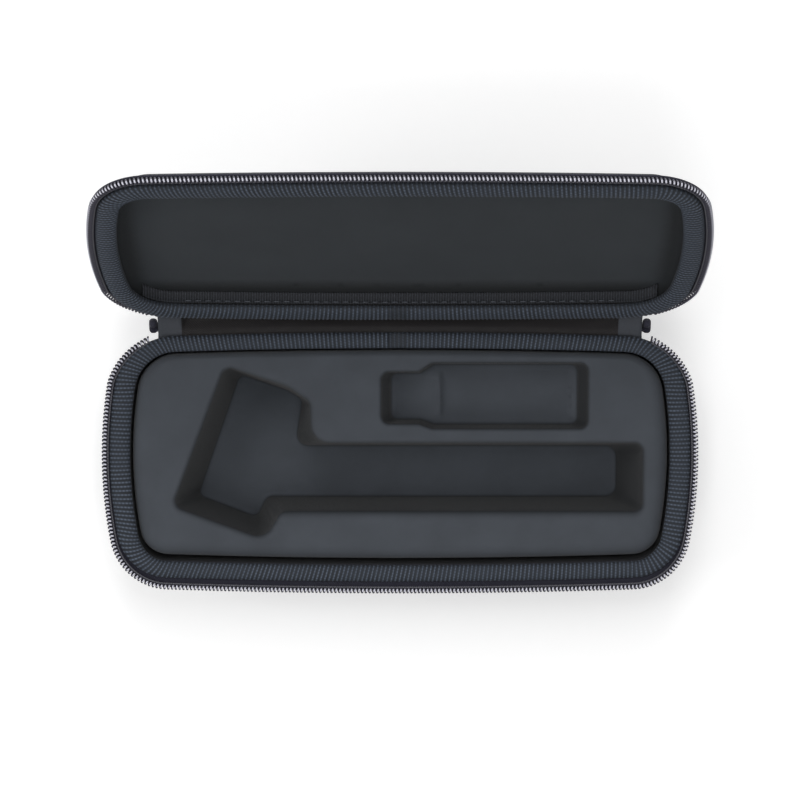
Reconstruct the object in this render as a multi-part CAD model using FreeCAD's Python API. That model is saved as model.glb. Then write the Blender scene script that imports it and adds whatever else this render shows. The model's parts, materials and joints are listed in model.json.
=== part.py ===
import FreeCAD, Part

import math
import os

# Zip-round moulded case for a pocket dermatoscope, drawn with its lid open.
# Millimetres. +X runs along the case, -Y is the front, +Y the hinge side, +Z is up.
# The origin is the middle of the underside, on the table.

# Rim outline, the outer edge of the binding on both halves
RIM_LENGTH = 191.2
RIM_DEPTH = 84.1
FRONT_CORNER_RADIUS = 17.0
REAR_CORNER_RADIUS = 21.0
LONG_SIDE_RADIUS = 2300.0
SHORT_SIDE_RADIUS = 150.0
CORNER_KNEE = 14.0

# Moulded shells
SHELL_HEIGHT = 28.2
SHELL_INSET = 2.6
SHELL_WALL = 2.4
SHELL_DRAFT = math.radians(6.0)
BASE_EDGE_ROUND = 9.0
LID_DEPTH = 11.0
LID_DOME_RUN = 11.0
LID_DOME_DROP = 9.3

# Linings
LINING_WALL = 0.6
LID_CAVITY = 4.6
LID_CAVITY_ROUND = 4.0
LID_CAVITY_RUN = 5.2

# Binding tape round each rim
BINDING_START = 0.15
BINDING_WIDTH = 6.75
BINDING_SIDE = 0.6
BINDING_DOME = 2.0

# Zip tape and coil
TAPE_WALL = 0.7
COIL_RADIUS = 1.15
COIL_GAP = 1.0
COIL_SIDE_REACH = 1.4
COIL_FRONT_REACH = 2.2
COIL_REAR_REACH = 1.15
ZIP_END_INSET = 13.1
RIM_GAP = 3.0

# Lid hinge, opened as photographed
HINGE_BEYOND_RIM = 0.45
OPEN_ANGLE = 122.0

# Fabric spine between the two rims
SPINE_END_INSET = 24.6
SPINE_WALL = 0.7
SPINE_SLACK = 3.2

# Ribbed tape and its stitches inside the lid, along the hinge side
HINGE_TAPE_END_INSET = 23.6
HINGE_TAPE_WALL = 0.5
HINGE_TAPE_TURN = math.radians(55.0)
STITCH_LENGTH = 2.0
STITCH_PITCH = 3.2
STITCH_WALL = 0.35
STITCH_LIFT = 0.05
STITCH_DROP = 0.45

# Moulded insert tray
TRAY_CREVICE = 0.6
TRAY_BELOW_CREST = 0.6
TRAY_WALL = 2.2
TRAY_SKIRT = 18.0
TRAY_ROLL_RUN = 5.0
TRAY_ROLL_REAR_RUN = 2.0
TRAY_ROLL_DROP = 5.0
LIP_RADIUS = 2.2
BOTTLE_LIP_RADIUS = 1.4
FLOOR_RADIUS = 2.0

# Edges of the case that the recesses keep their distance from
LEFT = -RIM_LENGTH / 2.0
RIGHT = RIM_LENGTH / 2.0
FRONT = -RIM_DEPTH / 2.0
REAR = RIM_DEPTH / 2.0

# Instrument recess: corners as x, y and plan radius, at the lip and on the floor
HANDLE_LIP_BACK = 3.8
HANDLE_LIP_FRONT = -18.5
HANDLE_LIP_END = RIGHT - 15.9
HANDLE_FLOOR_BACK = HANDLE_LIP_BACK - 2.6
HANDLE_FLOOR_FRONT = HANDLE_LIP_FRONT + 2.1
HANDLE_FLOOR_END = HANDLE_LIP_END - 6.8
INSTRUMENT_LIP = (
    (LEFT + 38.3, REAR - 12.95, 3.0),
    (LEFT + 21.0, FRONT + 25.25, 3.0),
    (LEFT + 51.0, FRONT + 14.25, 5.5),
    (LEFT + 56.3, HANDLE_LIP_FRONT, 4.0),
    (HANDLE_LIP_END, HANDLE_LIP_FRONT, 2.8),
    (HANDLE_LIP_END, HANDLE_LIP_BACK, 2.8),
    (LEFT + 66.3, HANDLE_LIP_BACK, 6.5),
    (LEFT + 65.8, REAR - 24.65, 3.0),
    (LEFT + 58.7, REAR - 19.65, 12.0),
)
INSTRUMENT_FLOOR = (
    (LEFT + 41.7, REAR - 16.75, 2.6),
    (LEFT + 27.4, FRONT + 26.15, 2.6),
    (LEFT + 47.6, FRONT + 18.45, 3.0),
    (LEFT + 51.0, HANDLE_FLOOR_FRONT, 3.0),
    (HANDLE_FLOOR_END, HANDLE_FLOOR_FRONT, 4.0),
    (HANDLE_FLOOR_END, HANDLE_FLOOR_BACK, 4.0),
    (LEFT + 60.7, HANDLE_FLOOR_BACK, 3.5),
    (LEFT + 63.0, REAR - 25.45, 2.6),
    (LEFT + 57.6, REAR - 22.15, 8.0),
)

# Bottle recess, the same way, with a narrower neck at its left end
BOTTLE_BACK = REAR - 11.8
BOTTLE_FRONT = HANDLE_LIP_BACK + 5.0
BOTTLE_END = RIGHT - 34.0
BOTTLE_SHOULDER = BOTTLE_END - 51.0
NECK_BACK = BOTTLE_BACK - 2.9
NECK_FRONT = BOTTLE_FRONT + 1.6
NECK_END = BOTTLE_END - 67.6
BOTTLE_DRAFT_Y = 0.6
BOTTLE_DRAFT_X = 2.8
BOTTLE_WALL_DEPTH = 9.5
BOTTLE_ROUND_DEPTH = 3.0
NECK_ROUND_DEPTH = 1.6
BOTTLE_CORNER = 2.6
SHOULDER_RUN = 4.4

# Closed tail of the zip behind each hinge corner, with its slider and puller
TAIL_Y = REAR - 1.1
TAIL_Z = SHELL_HEIGHT - 5.8
TAIL_HALF_HEIGHT = 5.2
TAIL_TAPE_WALL = 0.6
TAIL_END_INSET = 15.2
TAIL_SPLIT_LENGTH = 13.4
TAIL_JOIN_LENGTH = 2.8
TAIL_CLOSED_LENGTH = 6.2
TAIL_OUTER_X = RIGHT - TAIL_END_INSET
TAIL_SPLIT_X = TAIL_OUTER_X - TAIL_SPLIT_LENGTH
TAIL_CLOSED_X = TAIL_SPLIT_X - TAIL_JOIN_LENGTH
TAIL_INNER_X = TAIL_CLOSED_X - TAIL_CLOSED_LENGTH
ROW_HEIGHT = 2.4
ROW_WALL = 2.0
ROW_SPLIT = 1.8
FOLD_WIDTH = 2.0
FOLD_ABOVE_SHELL = 2.2
FOLD_CLEARANCE = 0.3
FOLD_OUTSIDE = 1.0
FOLD_ROUND = 0.7
TAB_LENGTH = 5.4
TAB_WALL = 0.4
TAB_ROUND = 0.8
SLIDER_LENGTH = 8.4
SLIDER_FOLD_GAP = 0.8
SLIDER_PLATE = 0.9
SLIDER_FLANGE = 0.9
SLIDER_SLOT = 1.2
SLIDER_CLEARANCE = 0.3
SLIDER_CORNER = 1.8
SLIDER_EDGE = 0.5
DIAMOND_LENGTH = 3.2
DIAMOND_WIDTH = 1.2
CROWN_LENGTH = 4.6
CROWN_WALL = 0.9
CROWN_WIDTH = 1.6
CROWN_ROUND = 0.8
PULLER_LENGTH = 21.0
PULLER_WIDTH = 5.0
PULLER_TIP = 3.8
PULLER_WALL = 1.0
PULLER_CLEARANCE = 0.3
PULLER_WINDOW = 3.3
PULLER_ARM = 1.2
PULLER_HOLE = 1.0

# Number of steps in a rounded quarter: moulded shells, small rolled edges, covered faces
SHELL_STEPS = 3
EDGE_STEPS = 2
COVERED_STEPS = 2
BASE_COVERED_STEPS = 1
COIL_SIDES = 6

# Heights and places that follow from the sizes above
TAPE_TOP = SHELL_HEIGHT + TAPE_WALL
CREST = TAPE_TOP + BINDING_SIDE + BINDING_DOME
MEETING_Z = CREST + RIM_GAP / 2.0
COIL_Z = MEETING_Z - COIL_GAP / 2.0 - COIL_RADIUS
HINGE_Y = REAR + HINGE_BEYOND_RIM
SEAM_INSET = SHELL_INSET + SHELL_WALL + LINING_WALL
TRAY_TOP = CREST - TRAY_BELOW_CREST
TRAY_INSET = BINDING_START + BINDING_WIDTH + TRAY_CREVICE
FLOOR_Z = SHELL_WALL + LINING_WALL + TRAY_WALL
BOTTLE_FLOOR_Z = TRAY_TOP - BOTTLE_WALL_DEPTH

# Far enough outside everything for a cutting box
BEYOND = RIM_LENGTH


def point(x, y, z=0.0):
    """A point or direction."""
    return FreeCAD.Vector(x, y, z)


def at(place, z):
    """The same place at another height."""
    return point(place.x, place.y, z)


def quarter_turns(steps):
    """Sine and cosine at even steps round a quarter turn."""
    turns = [math.pi / 2.0 * k / steps for k in range(steps + 1)]
    return [(math.sin(turn), math.cos(turn)) for turn in turns]


def level_arc(first, last, centre, radius, z):
    """The arc from first to last about centre, the short way round."""
    middle = (first + last) * 0.5 - centre
    middle = centre + middle * (radius / middle.Length)
    return Part.Arc(at(first, z), at(middle, z), at(last, z)).toShape()


def corner_of(half_x, half_y, corner, long_radius, short_radius):
    """Round corner between two bowed sides: its centre and the two places it touches."""
    long_centre = point(0, half_y - long_radius)
    short_centre = point(half_x - short_radius, 0)
    to_long = long_radius - corner
    to_short = short_radius - corner
    # The corner's centre lies at a known distance from the centre of each bowed side
    apart = short_centre - long_centre
    distance = apart.Length
    along = (distance**2 + to_long**2 - to_short**2) / (2.0 * distance)
    across = math.sqrt(to_long**2 - along**2)
    apart.normalize()
    centre = long_centre + apart * along + point(apart.y, -apart.x) * across
    on_long = long_centre + (centre - long_centre) * (long_radius / to_long)
    on_short = short_centre + (centre - short_centre) * (short_radius / to_short)
    return centre, on_long, on_short


def barrel(half_x, half_y, front_corner, rear_corner, long_radius, short_radius, centre_y, z):
    """Four bowed sides joined by four round corners, as a list of level edges."""
    radii = {1: rear_corner, -1: front_corner}
    corners = {
        side: corner_of(half_x, half_y, radius, long_radius, short_radius)
        for side, radius in radii.items()
    }
    long_centre = half_y - long_radius
    short_centre = half_x - short_radius

    def placed(name, sx, sy):
        place = corners[sy][name]
        return point(place.x * sx, place.y * sy)

    arcs = []
    quarters = ((1, 1), (-1, 1), (-1, -1), (1, -1))
    for k, (sx, sy) in enumerate(quarters):
        nx, ny = quarters[(k + 1) % len(quarters)]
        first, last = (2, 1) if sx == sy else (1, 2)
        start = placed(last, sx, sy)
        arcs.append((placed(first, sx, sy), start, placed(0, sx, sy), radii[sy]))
        if sy == ny:
            arcs.append((start, placed(last, nx, ny), point(0, long_centre * sy), long_radius))
        else:
            arcs.append((start, placed(last, nx, ny), point(short_centre * sx, 0), short_radius))
    shift = point(0, centre_y)
    return [level_arc(a + shift, b + shift, c + shift, r, z) for a, b, c, r in arcs]


def corner_at(radius, inset):
    """Corner radius of an inset outline: parallel at first, then slowly tighter."""
    if inset < CORNER_KNEE:
        return radius - inset
    kept = radius - CORNER_KNEE
    return kept * math.exp((CORNER_KNEE - inset) / kept)


def rim(inset, z, rearwards=0.0):
    """Rim outline moved inwards, with its hinge side moved back, at one height."""
    return barrel(
        RIM_LENGTH / 2.0 - inset,
        RIM_DEPTH / 2.0 - inset + rearwards / 2.0,
        corner_at(FRONT_CORNER_RADIUS, inset),
        corner_at(REAR_CORNER_RADIUS, inset),
        LONG_SIDE_RADIUS - inset,
        SHORT_SIDE_RADIUS - inset,
        rearwards / 2.0,
        z,
    )


def coil_line(inset, z):
    """Outline that the middle of the coil follows, moved inwards."""
    return barrel(
        RIM_LENGTH / 2.0 + COIL_SIDE_REACH - inset,
        (RIM_DEPTH + COIL_FRONT_REACH + COIL_REAR_REACH) / 2.0 - inset,
        FRONT_CORNER_RADIUS + COIL_SIDE_REACH - inset,
        REAR_CORNER_RADIUS + COIL_SIDE_REACH - inset,
        LONG_SIDE_RADIUS - inset,
        SHORT_SIDE_RADIUS - inset,
        (COIL_REAR_REACH - COIL_FRONT_REACH) / 2.0,
        z,
    )


def rear_y(x, inset):
    """Y of the rim's hinge side, moved inwards, at one x."""
    radius = corner_at(REAR_CORNER_RADIUS, inset)
    half_y = RIM_DEPTH / 2.0 - inset
    long_radius = LONG_SIDE_RADIUS - inset
    short_radius = SHORT_SIDE_RADIUS - inset
    centre, on_long, _ = corner_of(RIM_LENGTH / 2.0 - inset, half_y, radius, long_radius, short_radius)
    if abs(x) < on_long.x:
        return half_y - long_radius + math.sqrt(long_radius**2 - x**2)
    return centre.y + math.sqrt(radius**2 - (abs(x) - centre.x) ** 2)


def stack(outlines):
    """Solid through a pile of level outlines."""
    return Part.makeLoft([Part.Wire(edges) for edges in outlines], True, True)


def height_of(outline):
    """Height of a level outline, to a millionth."""
    return round(outline[0].Vertexes[0].Z, 6)


def ring(outlines):
    """Closed band whose section has one corner on each outline."""
    faces = []
    for k, outline in enumerate(outlines):
        following = outlines[(k + 1) % len(outlines)]
        if height_of(outline) == height_of(following):
            wires = [Part.Wire(outline), Part.Wire(following)]
            faces.append(Part.makeFace(wires, "Part::FaceMakerBullseye"))
        else:
            faces += [Part.makeRuledSurface(a, b) for a, b in zip(outline, following)]
    skin = Part.makeShell(faces)
    skin.sewShape()
    solid = Part.makeSolid(skin)
    if solid.Volume < 0.0:
        solid.reverse()
    return solid


def dish_profile(inset, top, depth, run, drop, steps):
    """Inset and height down a drafted wall and round its lower edge."""
    straight = depth - drop
    foot = inset + straight * math.tan(SHELL_DRAFT)
    places = [(inset, top)]
    for sine, cosine in quarter_turns(steps):
        places.append((foot + run * (1.0 - cosine), top - straight - drop * sine))
    return places


def dish(inset, top, depth, run, drop, steps):
    """Solid block with a drafted wall and a rounded lower edge."""
    return stack([rim(d, z) for d, z in dish_profile(inset, top, depth, run, drop, steps)])


def box(x0, x1, y0, y1, z0, z1):
    """Box between six planes."""
    return Part.makeBox(x1 - x0, y1 - y0, z1 - z0, point(x0, y0, z0))


def mirrored(shape):
    """The same piece on the other end of the case."""
    return shape.mirror(point(0, 0, 0), point(1, 0, 0))


def runs_along(edge, axis):
    """Whether a straight edge lies along an axis."""
    return abs(edge.tangentAt(edge.FirstParameter).dot(axis)) > 0.5


def corner_places(corners, grow):
    """Corners of an outline with each run moved outwards by grow.

    Each has the two places where its arc starts and ends, the arc's centre and radius,
    and the place where the two runs would meet, or None at a corner that turns inwards.
    """
    count = len(corners)
    runs = []
    for k, (x, y, _) in enumerate(corners):
        ahead = corners[(k + 1) % count]
        run = point(ahead[0] - x, ahead[1] - y)
        run.normalize()
        runs.append((point(x, y) + point(run.y, -run.x) * grow, run))
    pieces = []
    for k, (origin, after) in enumerate(runs):
        start, before = runs[k - 1]
        turn = before.x * after.y - before.y * after.x
        gap = origin - start
        apex = start + before * ((gap.x * after.y - gap.y * after.x) / turn)
        side = 1.0 if turn > 0.0 else -1.0
        radius = corners[k][2] + grow * side
        length = abs(radius * math.tan(math.atan2(turn, before.dot(after)) / 2.0))
        first = apex - before * length
        centre = first + point(-before.y, before.x) * (radius * side)
        meeting = apex if turn > 0.0 else None
        pieces.append((first, apex + after * length, centre, radius, meeting))
    return pieces


def turned_corners(corners, grow, z):
    """Outline of straight runs and round corners, each run moved outwards by grow."""
    pieces = corner_places(corners, grow)
    edges = []
    for k, (first, last, centre, radius, _) in enumerate(pieces):
        edges.append(level_arc(first, last, centre, radius, z))
        following = pieces[(k + 1) % len(pieces)][0]
        edges.append(Part.LineSegment(at(last, z), at(following, z)).toShape())
    return edges


def plain_corners(corners, grow, z):
    """The same outline for a covered face, sharp or with one flat across each corner."""
    places = []
    for first, last, _, _, meeting in corner_places(corners, grow):
        places += [first, last] if meeting is None else [meeting]
    following = places[1:] + places[:1]
    return [Part.LineSegment(at(a, z), at(b, z)).toShape() for a, b in zip(places, following)]


def recess(lip, floor, floor_z, lip_radius):
    """Room of a drafted recess with a rolled lip and a rounded foot."""
    outlines = []
    for sine, cosine in quarter_turns(EDGE_STEPS)[::-1]:
        z = TRAY_TOP - lip_radius * (1.0 - sine)
        outlines.append(turned_corners(lip, lip_radius * (1.0 - cosine), z))
    for sine, cosine in quarter_turns(COVERED_STEPS):
        z = floor_z + FLOOR_RADIUS * (1.0 - sine)
        outlines.append(turned_corners(floor, FLOOR_RADIUS * (cosine - 1.0), z))
    return stack(outlines)


def recess_wall(lip, floor, floor_z):
    """Block that leaves a wall round a recess."""
    outlines = [
        plain_corners(lip, TRAY_WALL, TRAY_TOP - TRAY_WALL / 2.0),
        plain_corners(floor, TRAY_WALL, floor_z),
        plain_corners(floor, TRAY_WALL - FLOOR_RADIUS, floor_z - TRAY_WALL),
    ]
    return stack(outlines)


def bottle_corners(drawn_in):
    """Corners of the bottle recess, with every wall moved inwards by the draft."""
    dx = BOTTLE_DRAFT_X * drawn_in
    dy = BOTTLE_DRAFT_Y * drawn_in
    left = NECK_END + dx
    right = BOTTLE_END - dx
    shoulder = BOTTLE_SHOULDER + dy
    neck = shoulder - SHOULDER_RUN
    return (
        (left, NECK_BACK - dy, BOTTLE_CORNER),
        (left, NECK_FRONT + dy, BOTTLE_CORNER),
        (neck, NECK_FRONT + dy, BOTTLE_CORNER),
        (shoulder, BOTTLE_FRONT + dy, BOTTLE_CORNER),
        (right, BOTTLE_FRONT + dy, BOTTLE_CORNER),
        (right, BOTTLE_BACK - dy, BOTTLE_CORNER),
        (shoulder, BOTTLE_BACK - dy, BOTTLE_CORNER),
        (neck, NECK_BACK - dy, BOTTLE_CORNER),
    )


def bed(x0, x1, y0, y1, depth, grow):
    """Lying round segment sunk below the floor of the bottle recess."""
    half = (y1 - y0) / 2.0
    radius = (half**2 + depth**2) / (2.0 * depth)
    axis_z = BOTTLE_FLOOR_Z - depth + radius
    start = point(x0 - grow, (y0 + y1) / 2.0, axis_z)
    bar = Part.makeCylinder(radius + grow, x1 - x0 + 2.0 * grow, start, point(1, 0, 0))
    above = BOTTLE_FLOOR_Z + FLOOR_RADIUS
    return bar.common(box(-BEYOND, BEYOND, y0 - grow, y1 + grow, -BEYOND, above))


def bottle_beds(grow):
    """Round beds for the bottle's body and for its neck."""
    in_x = BOTTLE_DRAFT_X + FLOOR_RADIUS
    in_y = BOTTLE_DRAFT_Y + FLOOR_RADIUS
    body = bed(
        BOTTLE_SHOULDER + in_y,
        BOTTLE_END - in_x,
        BOTTLE_FRONT + in_y,
        BOTTLE_BACK - in_y,
        BOTTLE_ROUND_DEPTH,
        grow,
    )
    neck = bed(
        NECK_END + in_x,
        BOTTLE_SHOULDER + in_y,
        NECK_FRONT + in_y,
        NECK_BACK - in_y,
        NECK_ROUND_DEPTH,
        grow,
    )
    return body, neck


def tray_block(inset, wall, foot, top, steps):
    """Block under the tray's rolled edge, or the room inside it one wall in."""
    outlines = [rim(inset + wall, foot)]
    roll_foot = TRAY_TOP - TRAY_ROLL_DROP
    rear_gain = TRAY_ROLL_RUN - TRAY_ROLL_REAR_RUN
    for sine, cosine in quarter_turns(steps):
        run = 1.0 - cosine
        z = roll_foot + (top - roll_foot) * sine
        outlines.append(rim(inset + wall + TRAY_ROLL_RUN * run, z, rear_gain * run))
    return stack(outlines)


def insert_tray():
    """Moulded tray with a rolled edge, an instrument recess and a bottle recess."""
    foot = TRAY_TOP - TRAY_SKIRT
    block = tray_block(TRAY_INSET, 0.0, foot, TRAY_TOP, EDGE_STEPS)
    room = tray_block(TRAY_INSET, TRAY_WALL, foot - TRAY_WALL, TRAY_TOP - TRAY_WALL, COVERED_STEPS)
    tray = block.cut(room)
    bottle_lip = bottle_corners(0.0)
    bottle_floor = bottle_corners(1.0)
    tray = tray.fuse(recess_wall(INSTRUMENT_LIP, INSTRUMENT_FLOOR, FLOOR_Z))
    tray = tray.fuse(recess_wall(bottle_lip, bottle_floor, BOTTLE_FLOOR_Z))
    for under in bottle_beds(TRAY_WALL):
        tray = tray.fuse(under)
    tray = tray.cut(recess(INSTRUMENT_LIP, INSTRUMENT_FLOOR, FLOOR_Z, LIP_RADIUS))
    tray = tray.cut(recess(bottle_lip, bottle_floor, BOTTLE_FLOOR_Z, BOTTLE_LIP_RADIUS))
    for hollow in bottle_beds(0.0):
        tray = tray.cut(hollow)
    return tray.removeSplitter()


def shell(depth, run, drop, covered_steps):
    """Moulded half shell, mouth up, with an even wall."""
    block = dish(SHELL_INSET, SHELL_HEIGHT, depth, run, drop, SHELL_STEPS)
    return block.cut(shell_room(depth, run, drop, covered_steps))


def shell_room(depth, run, drop, steps):
    """Space inside a half shell."""
    inset = SHELL_INSET + SHELL_WALL
    wall = SHELL_WALL
    return dish(inset, SHELL_HEIGHT, depth - wall, run - wall, drop - wall, steps)


def base_lining():
    """Thin fabric pressed against the inside of the base shell."""
    depth = SHELL_HEIGHT - SHELL_WALL - LINING_WALL
    edge = BASE_EDGE_ROUND - SHELL_WALL - LINING_WALL
    room = dish(SEAM_INSET, SHELL_HEIGHT, depth, edge, edge, BASE_COVERED_STEPS)
    inside = shell_room(SHELL_HEIGHT, BASE_EDGE_ROUND, BASE_EDGE_ROUND, BASE_COVERED_STEPS)
    return inside.cut(room)


def lid_lining():
    """Smooth shallow dish that lines the lid, mouth up."""
    inset = SHELL_INSET + SHELL_WALL
    back = dish(inset, SHELL_HEIGHT, LID_CAVITY, LID_CAVITY_RUN, LID_CAVITY_ROUND, COVERED_STEPS)
    return back.cut(stack([rim(d, z) for d, z in lid_face()]))


def lid_face():
    """Profile of the lid lining's visible face."""
    depth = LID_CAVITY - LINING_WALL
    run = LID_CAVITY_RUN - LINING_WALL
    drop = LID_CAVITY_ROUND - LINING_WALL
    return dish_profile(SEAM_INSET, SHELL_HEIGHT, depth, run, drop, SHELL_STEPS)


def lid_padding():
    """Soft filling between the lid's shell and the back of its lining, mouth up."""
    room = shell_room(LID_DEPTH, LID_DOME_RUN, LID_DOME_DROP, COVERED_STEPS)
    return room.common(box(-BEYOND, BEYOND, -BEYOND, BEYOND, -BEYOND, SHELL_HEIGHT - LID_CAVITY))


def binding():
    """Domed band of folded tape over the rim, mouth up."""
    half = BINDING_WIDTH / 2.0
    side = TAPE_TOP + BINDING_SIDE
    rising = [(half * (1.0 - cosine), BINDING_DOME * sine) for sine, cosine in quarter_turns(EDGE_STEPS)]
    falling = [(BINDING_WIDTH - run, rise) for run, rise in rising[-2::-1]]
    outlines = [rim(BINDING_START, TAPE_TOP)]
    outlines += [rim(BINDING_START + run, side + rise) for run, rise in rising + falling]
    outlines.append(rim(BINDING_START + BINDING_WIDTH, TAPE_TOP))
    return ring(outlines)


def without_hinge_side(band):
    """A band round the rim, cut away between the hinge corners."""
    end = RIGHT - ZIP_END_INSET
    return band.cut(box(-end, end, 0.0, BEYOND, -BEYOND, BEYOND))


def zip_tape():
    """Tape that leaves the rim seam under the binding and turns up to the coil."""
    half = TAPE_WALL / 2.0
    foot = COIL_Z - COIL_RADIUS
    outlines = [
        rim(SEAM_INSET, SHELL_HEIGHT),
        coil_line(-half, SHELL_HEIGHT),
        coil_line(-half, foot),
        coil_line(half, foot),
        coil_line(half, TAPE_TOP),
        rim(SEAM_INSET, TAPE_TOP),
    ]
    return without_hinge_side(ring(outlines))


def zip_coil():
    """Coil on the edge of the tape, as one plain round bead."""
    outlines = []
    for k in range(COIL_SIDES):
        turn = 2.0 * math.pi * k / COIL_SIDES
        outlines.append(coil_line(COIL_RADIUS * math.sin(turn), COIL_Z - COIL_RADIUS * math.cos(turn)))
    return without_hinge_side(ring(outlines))


def lid_hinge_tape():
    """Ribbed tape that lies on the lining along the hinge side, mouth up."""
    places = lid_face()[: 2 + round(SHELL_STEPS * HINGE_TAPE_TURN / (math.pi / 2.0))]
    lifted = []
    for k, (inset, z) in enumerate(places):
        before = places[max(k - 1, 0)]
        after = places[min(k + 1, len(places) - 1)]
        along = point(after[0] - before[0], after[1] - before[1])
        along.normalize()
        lifted.append((inset - along.y * HINGE_TAPE_WALL, z + along.x * HINGE_TAPE_WALL))
    lifted[0] = (lifted[0][0], places[0][1])
    band = ring([rim(d, z) for d, z in places + lifted[::-1]])
    half = RIGHT - HINGE_TAPE_END_INSET
    return band.common(box(-half, half, 0.0, BEYOND, -BEYOND, BEYOND))


def lid_hinge_stitches():
    """Row of stitches near the upper edge of the ribbed tape, mouth up."""
    inset = SEAM_INSET + HINGE_TAPE_WALL + STITCH_DROP * math.tan(SHELL_DRAFT) + STITCH_LIFT
    count = int((RIGHT - HINGE_TAPE_END_INSET) / STITCH_PITCH)
    stitches = []
    for k in range(-count, count):
        x = (k + 0.5) * STITCH_PITCH
        stitch = Part.makeBox(STITCH_LENGTH, STITCH_WALL, STITCH_WALL)
        stitch.translate(point(-STITCH_LENGTH / 2.0, 0.0, -STITCH_WALL / 2.0))
        lean = -math.degrees(math.asin(x / LONG_SIDE_RADIUS))
        stitch.rotate(point(0, 0, 0), point(0, 0, 1), lean)
        stitch.translate(point(x, rear_y(x, inset + STITCH_WALL), SHELL_HEIGHT - STITCH_DROP))
        stitches.append(stitch)
    return Part.makeCompound(stitches)


def opened(shape):
    """A lid piece drawn mouth up on the base, put on the lid at its open angle."""
    lid = shape.mirror(point(0, 0, MEETING_Z), point(0, 0, 1))
    lid.rotate(point(0, HINGE_Y, MEETING_Z), point(1, 0, 0), -OPEN_ANGLE)
    return lid


def opened_place(y, z):
    """Where a place on the mouth-up base goes on the open lid, in the Y-Z plane."""
    turn = math.radians(-OPEN_ANGLE)
    dy = y - HINGE_Y
    dz = MEETING_Z - z
    return point(
        HINGE_Y + dy * math.cos(turn) - dz * math.sin(turn),
        MEETING_Z + dy * math.sin(turn) + dz * math.cos(turn),
    )


def spine_line(x):
    """Middle of the fabric spine at one x: clamped in each seam and slack between."""
    middle = SHELL_HEIGHT + TAPE_WALL / 2.0
    inner = rear_y(x, SEAM_INSET)
    edge = rear_y(x, BINDING_START)
    start = point(edge, middle)
    chord = opened_place(edge, middle) - start
    out = point(chord.y, -chord.x)
    out.normalize()
    line = [point(inner, middle)]
    for k in range(2 * SHELL_STEPS + 1):
        share = k / (2.0 * SHELL_STEPS)
        line.append(start + chord * share + out * (SPINE_SLACK * math.sin(math.pi * share)))
    line.append(opened_place(inner, middle))
    return line


def spine_section(x):
    """Closed section of the fabric spine at one x, half a wall to each side of its line."""
    line = spine_line(x)
    runs = [b - a for a, b in zip(line, line[1:])]
    for run in runs:
        run.normalize()
    over = []
    under = []
    for k, place in enumerate(line):
        before = runs[max(k - 1, 0)]
        after = runs[min(k, len(runs) - 1)]
        mean = before + after
        mean.normalize()
        normal = point(-mean.y, mean.x)
        offset = normal * (SPINE_WALL / 2.0 / mean.dot(before))
        over.append(place + offset)
        under.append(place - offset)
    places = [point(x, p.x, p.y) for p in over + under[::-1]]
    return Part.makePolygon(places + places[:1])


def hinge_spine():
    """Fabric that joins the two rims along the hinge side."""
    half = RIGHT - SPINE_END_INSET
    return Part.makeLoft([spine_section(half * k / 2.0) for k in range(-2, 3)], True, True)


def tail_row(side):
    """One row of the closed zip tail on its tape, above or below the middle."""
    split = ROW_SPLIT / 2.0 + ROW_HEIGHT / 2.0
    closed = ROW_HEIGHT / 2.0
    path = (
        (-TAIL_OUTER_X, split),
        (-TAIL_SPLIT_X, split),
        (-TAIL_CLOSED_X, closed),
        (-TAIL_INNER_X, closed),
    )
    y0 = TAIL_Y - ROW_WALL / 2.0
    y1 = TAIL_Y + ROW_WALL / 2.0
    sections = []
    for x, z in path:
        z0 = TAIL_Z + side * z - ROW_HEIGHT / 2.0
        z1 = z0 + ROW_HEIGHT
        places = [point(x, y0, z0), point(x, y1, z0), point(x, y1, z1), point(x, y0, z1)]
        sections.append(Part.makePolygon(places + places[:1]))
    row = Part.makeLoft(sections, True, True)
    edges = path + ((-TAIL_INNER_X, TAIL_HALF_HEIGHT), (-TAIL_OUTER_X, TAIL_HALF_HEIGHT))
    places = [point(x, TAIL_Y - TAIL_TAPE_WALL / 2.0, TAIL_Z + side * z) for x, z in edges]
    tape = Part.Face(Part.makePolygon(places + places[:1])).extrude(point(0, TAIL_TAPE_WALL, 0))
    return row.fuse(tape).removeSplitter()


def zip_tail():
    """Closed tail of the zip behind the left hinge corner."""
    return Part.makeCompound([tail_row(1), tail_row(-1)])


def zip_fold():
    """Folded tape that leads from the rim down into the left tail."""
    x1 = -TAIL_OUTER_X
    y0 = TAIL_Y - ROW_WALL / 2.0
    y1 = TAIL_Y + ROW_WALL / 2.0 + FOLD_OUTSIDE
    fold = box(x1 - FOLD_WIDTH, x1, y0, y1, TAIL_Z - TAIL_HALF_HEIGHT, SHELL_HEIGHT + FOLD_ABOVE_SHELL)
    fold = fold.makeChamfer(FOLD_ROUND, [e for e in fold.Edges if runs_along(e, point(0, 1, 0))])
    beside = [rim(-FOLD_CLEARANCE, z) for z in (SHELL_HEIGHT - FOLD_CLEARANCE, MEETING_Z)]
    return fold.cut(stack(beside))


def zip_end_tab(tail, base_block):
    """Sewn tab that holds the inner end of the left tail to the shell."""
    x0 = -TAIL_INNER_X - TAB_LENGTH + FOLD_WIDTH / 2.0
    outside = TAIL_Y + ROW_WALL / 2.0 + TAB_WALL
    low = TAIL_Z - TAIL_HALF_HEIGHT - TAB_WALL
    high = TAIL_Z + TAIL_HALF_HEIGHT
    start = rear_y(TAIL_INNER_X, SHELL_INSET + SHELL_WALL)
    tab = box(x0, x0 + TAB_LENGTH, start, outside, low, high)
    rims = [e for e in tab.Edges if e.CenterOfMass.y > outside - TAB_WALL / 2.0]
    tab = tab.makeChamfer(TAB_ROUND / 2.0, rims)
    return tab.cut(tail).cut(base_block)


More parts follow.
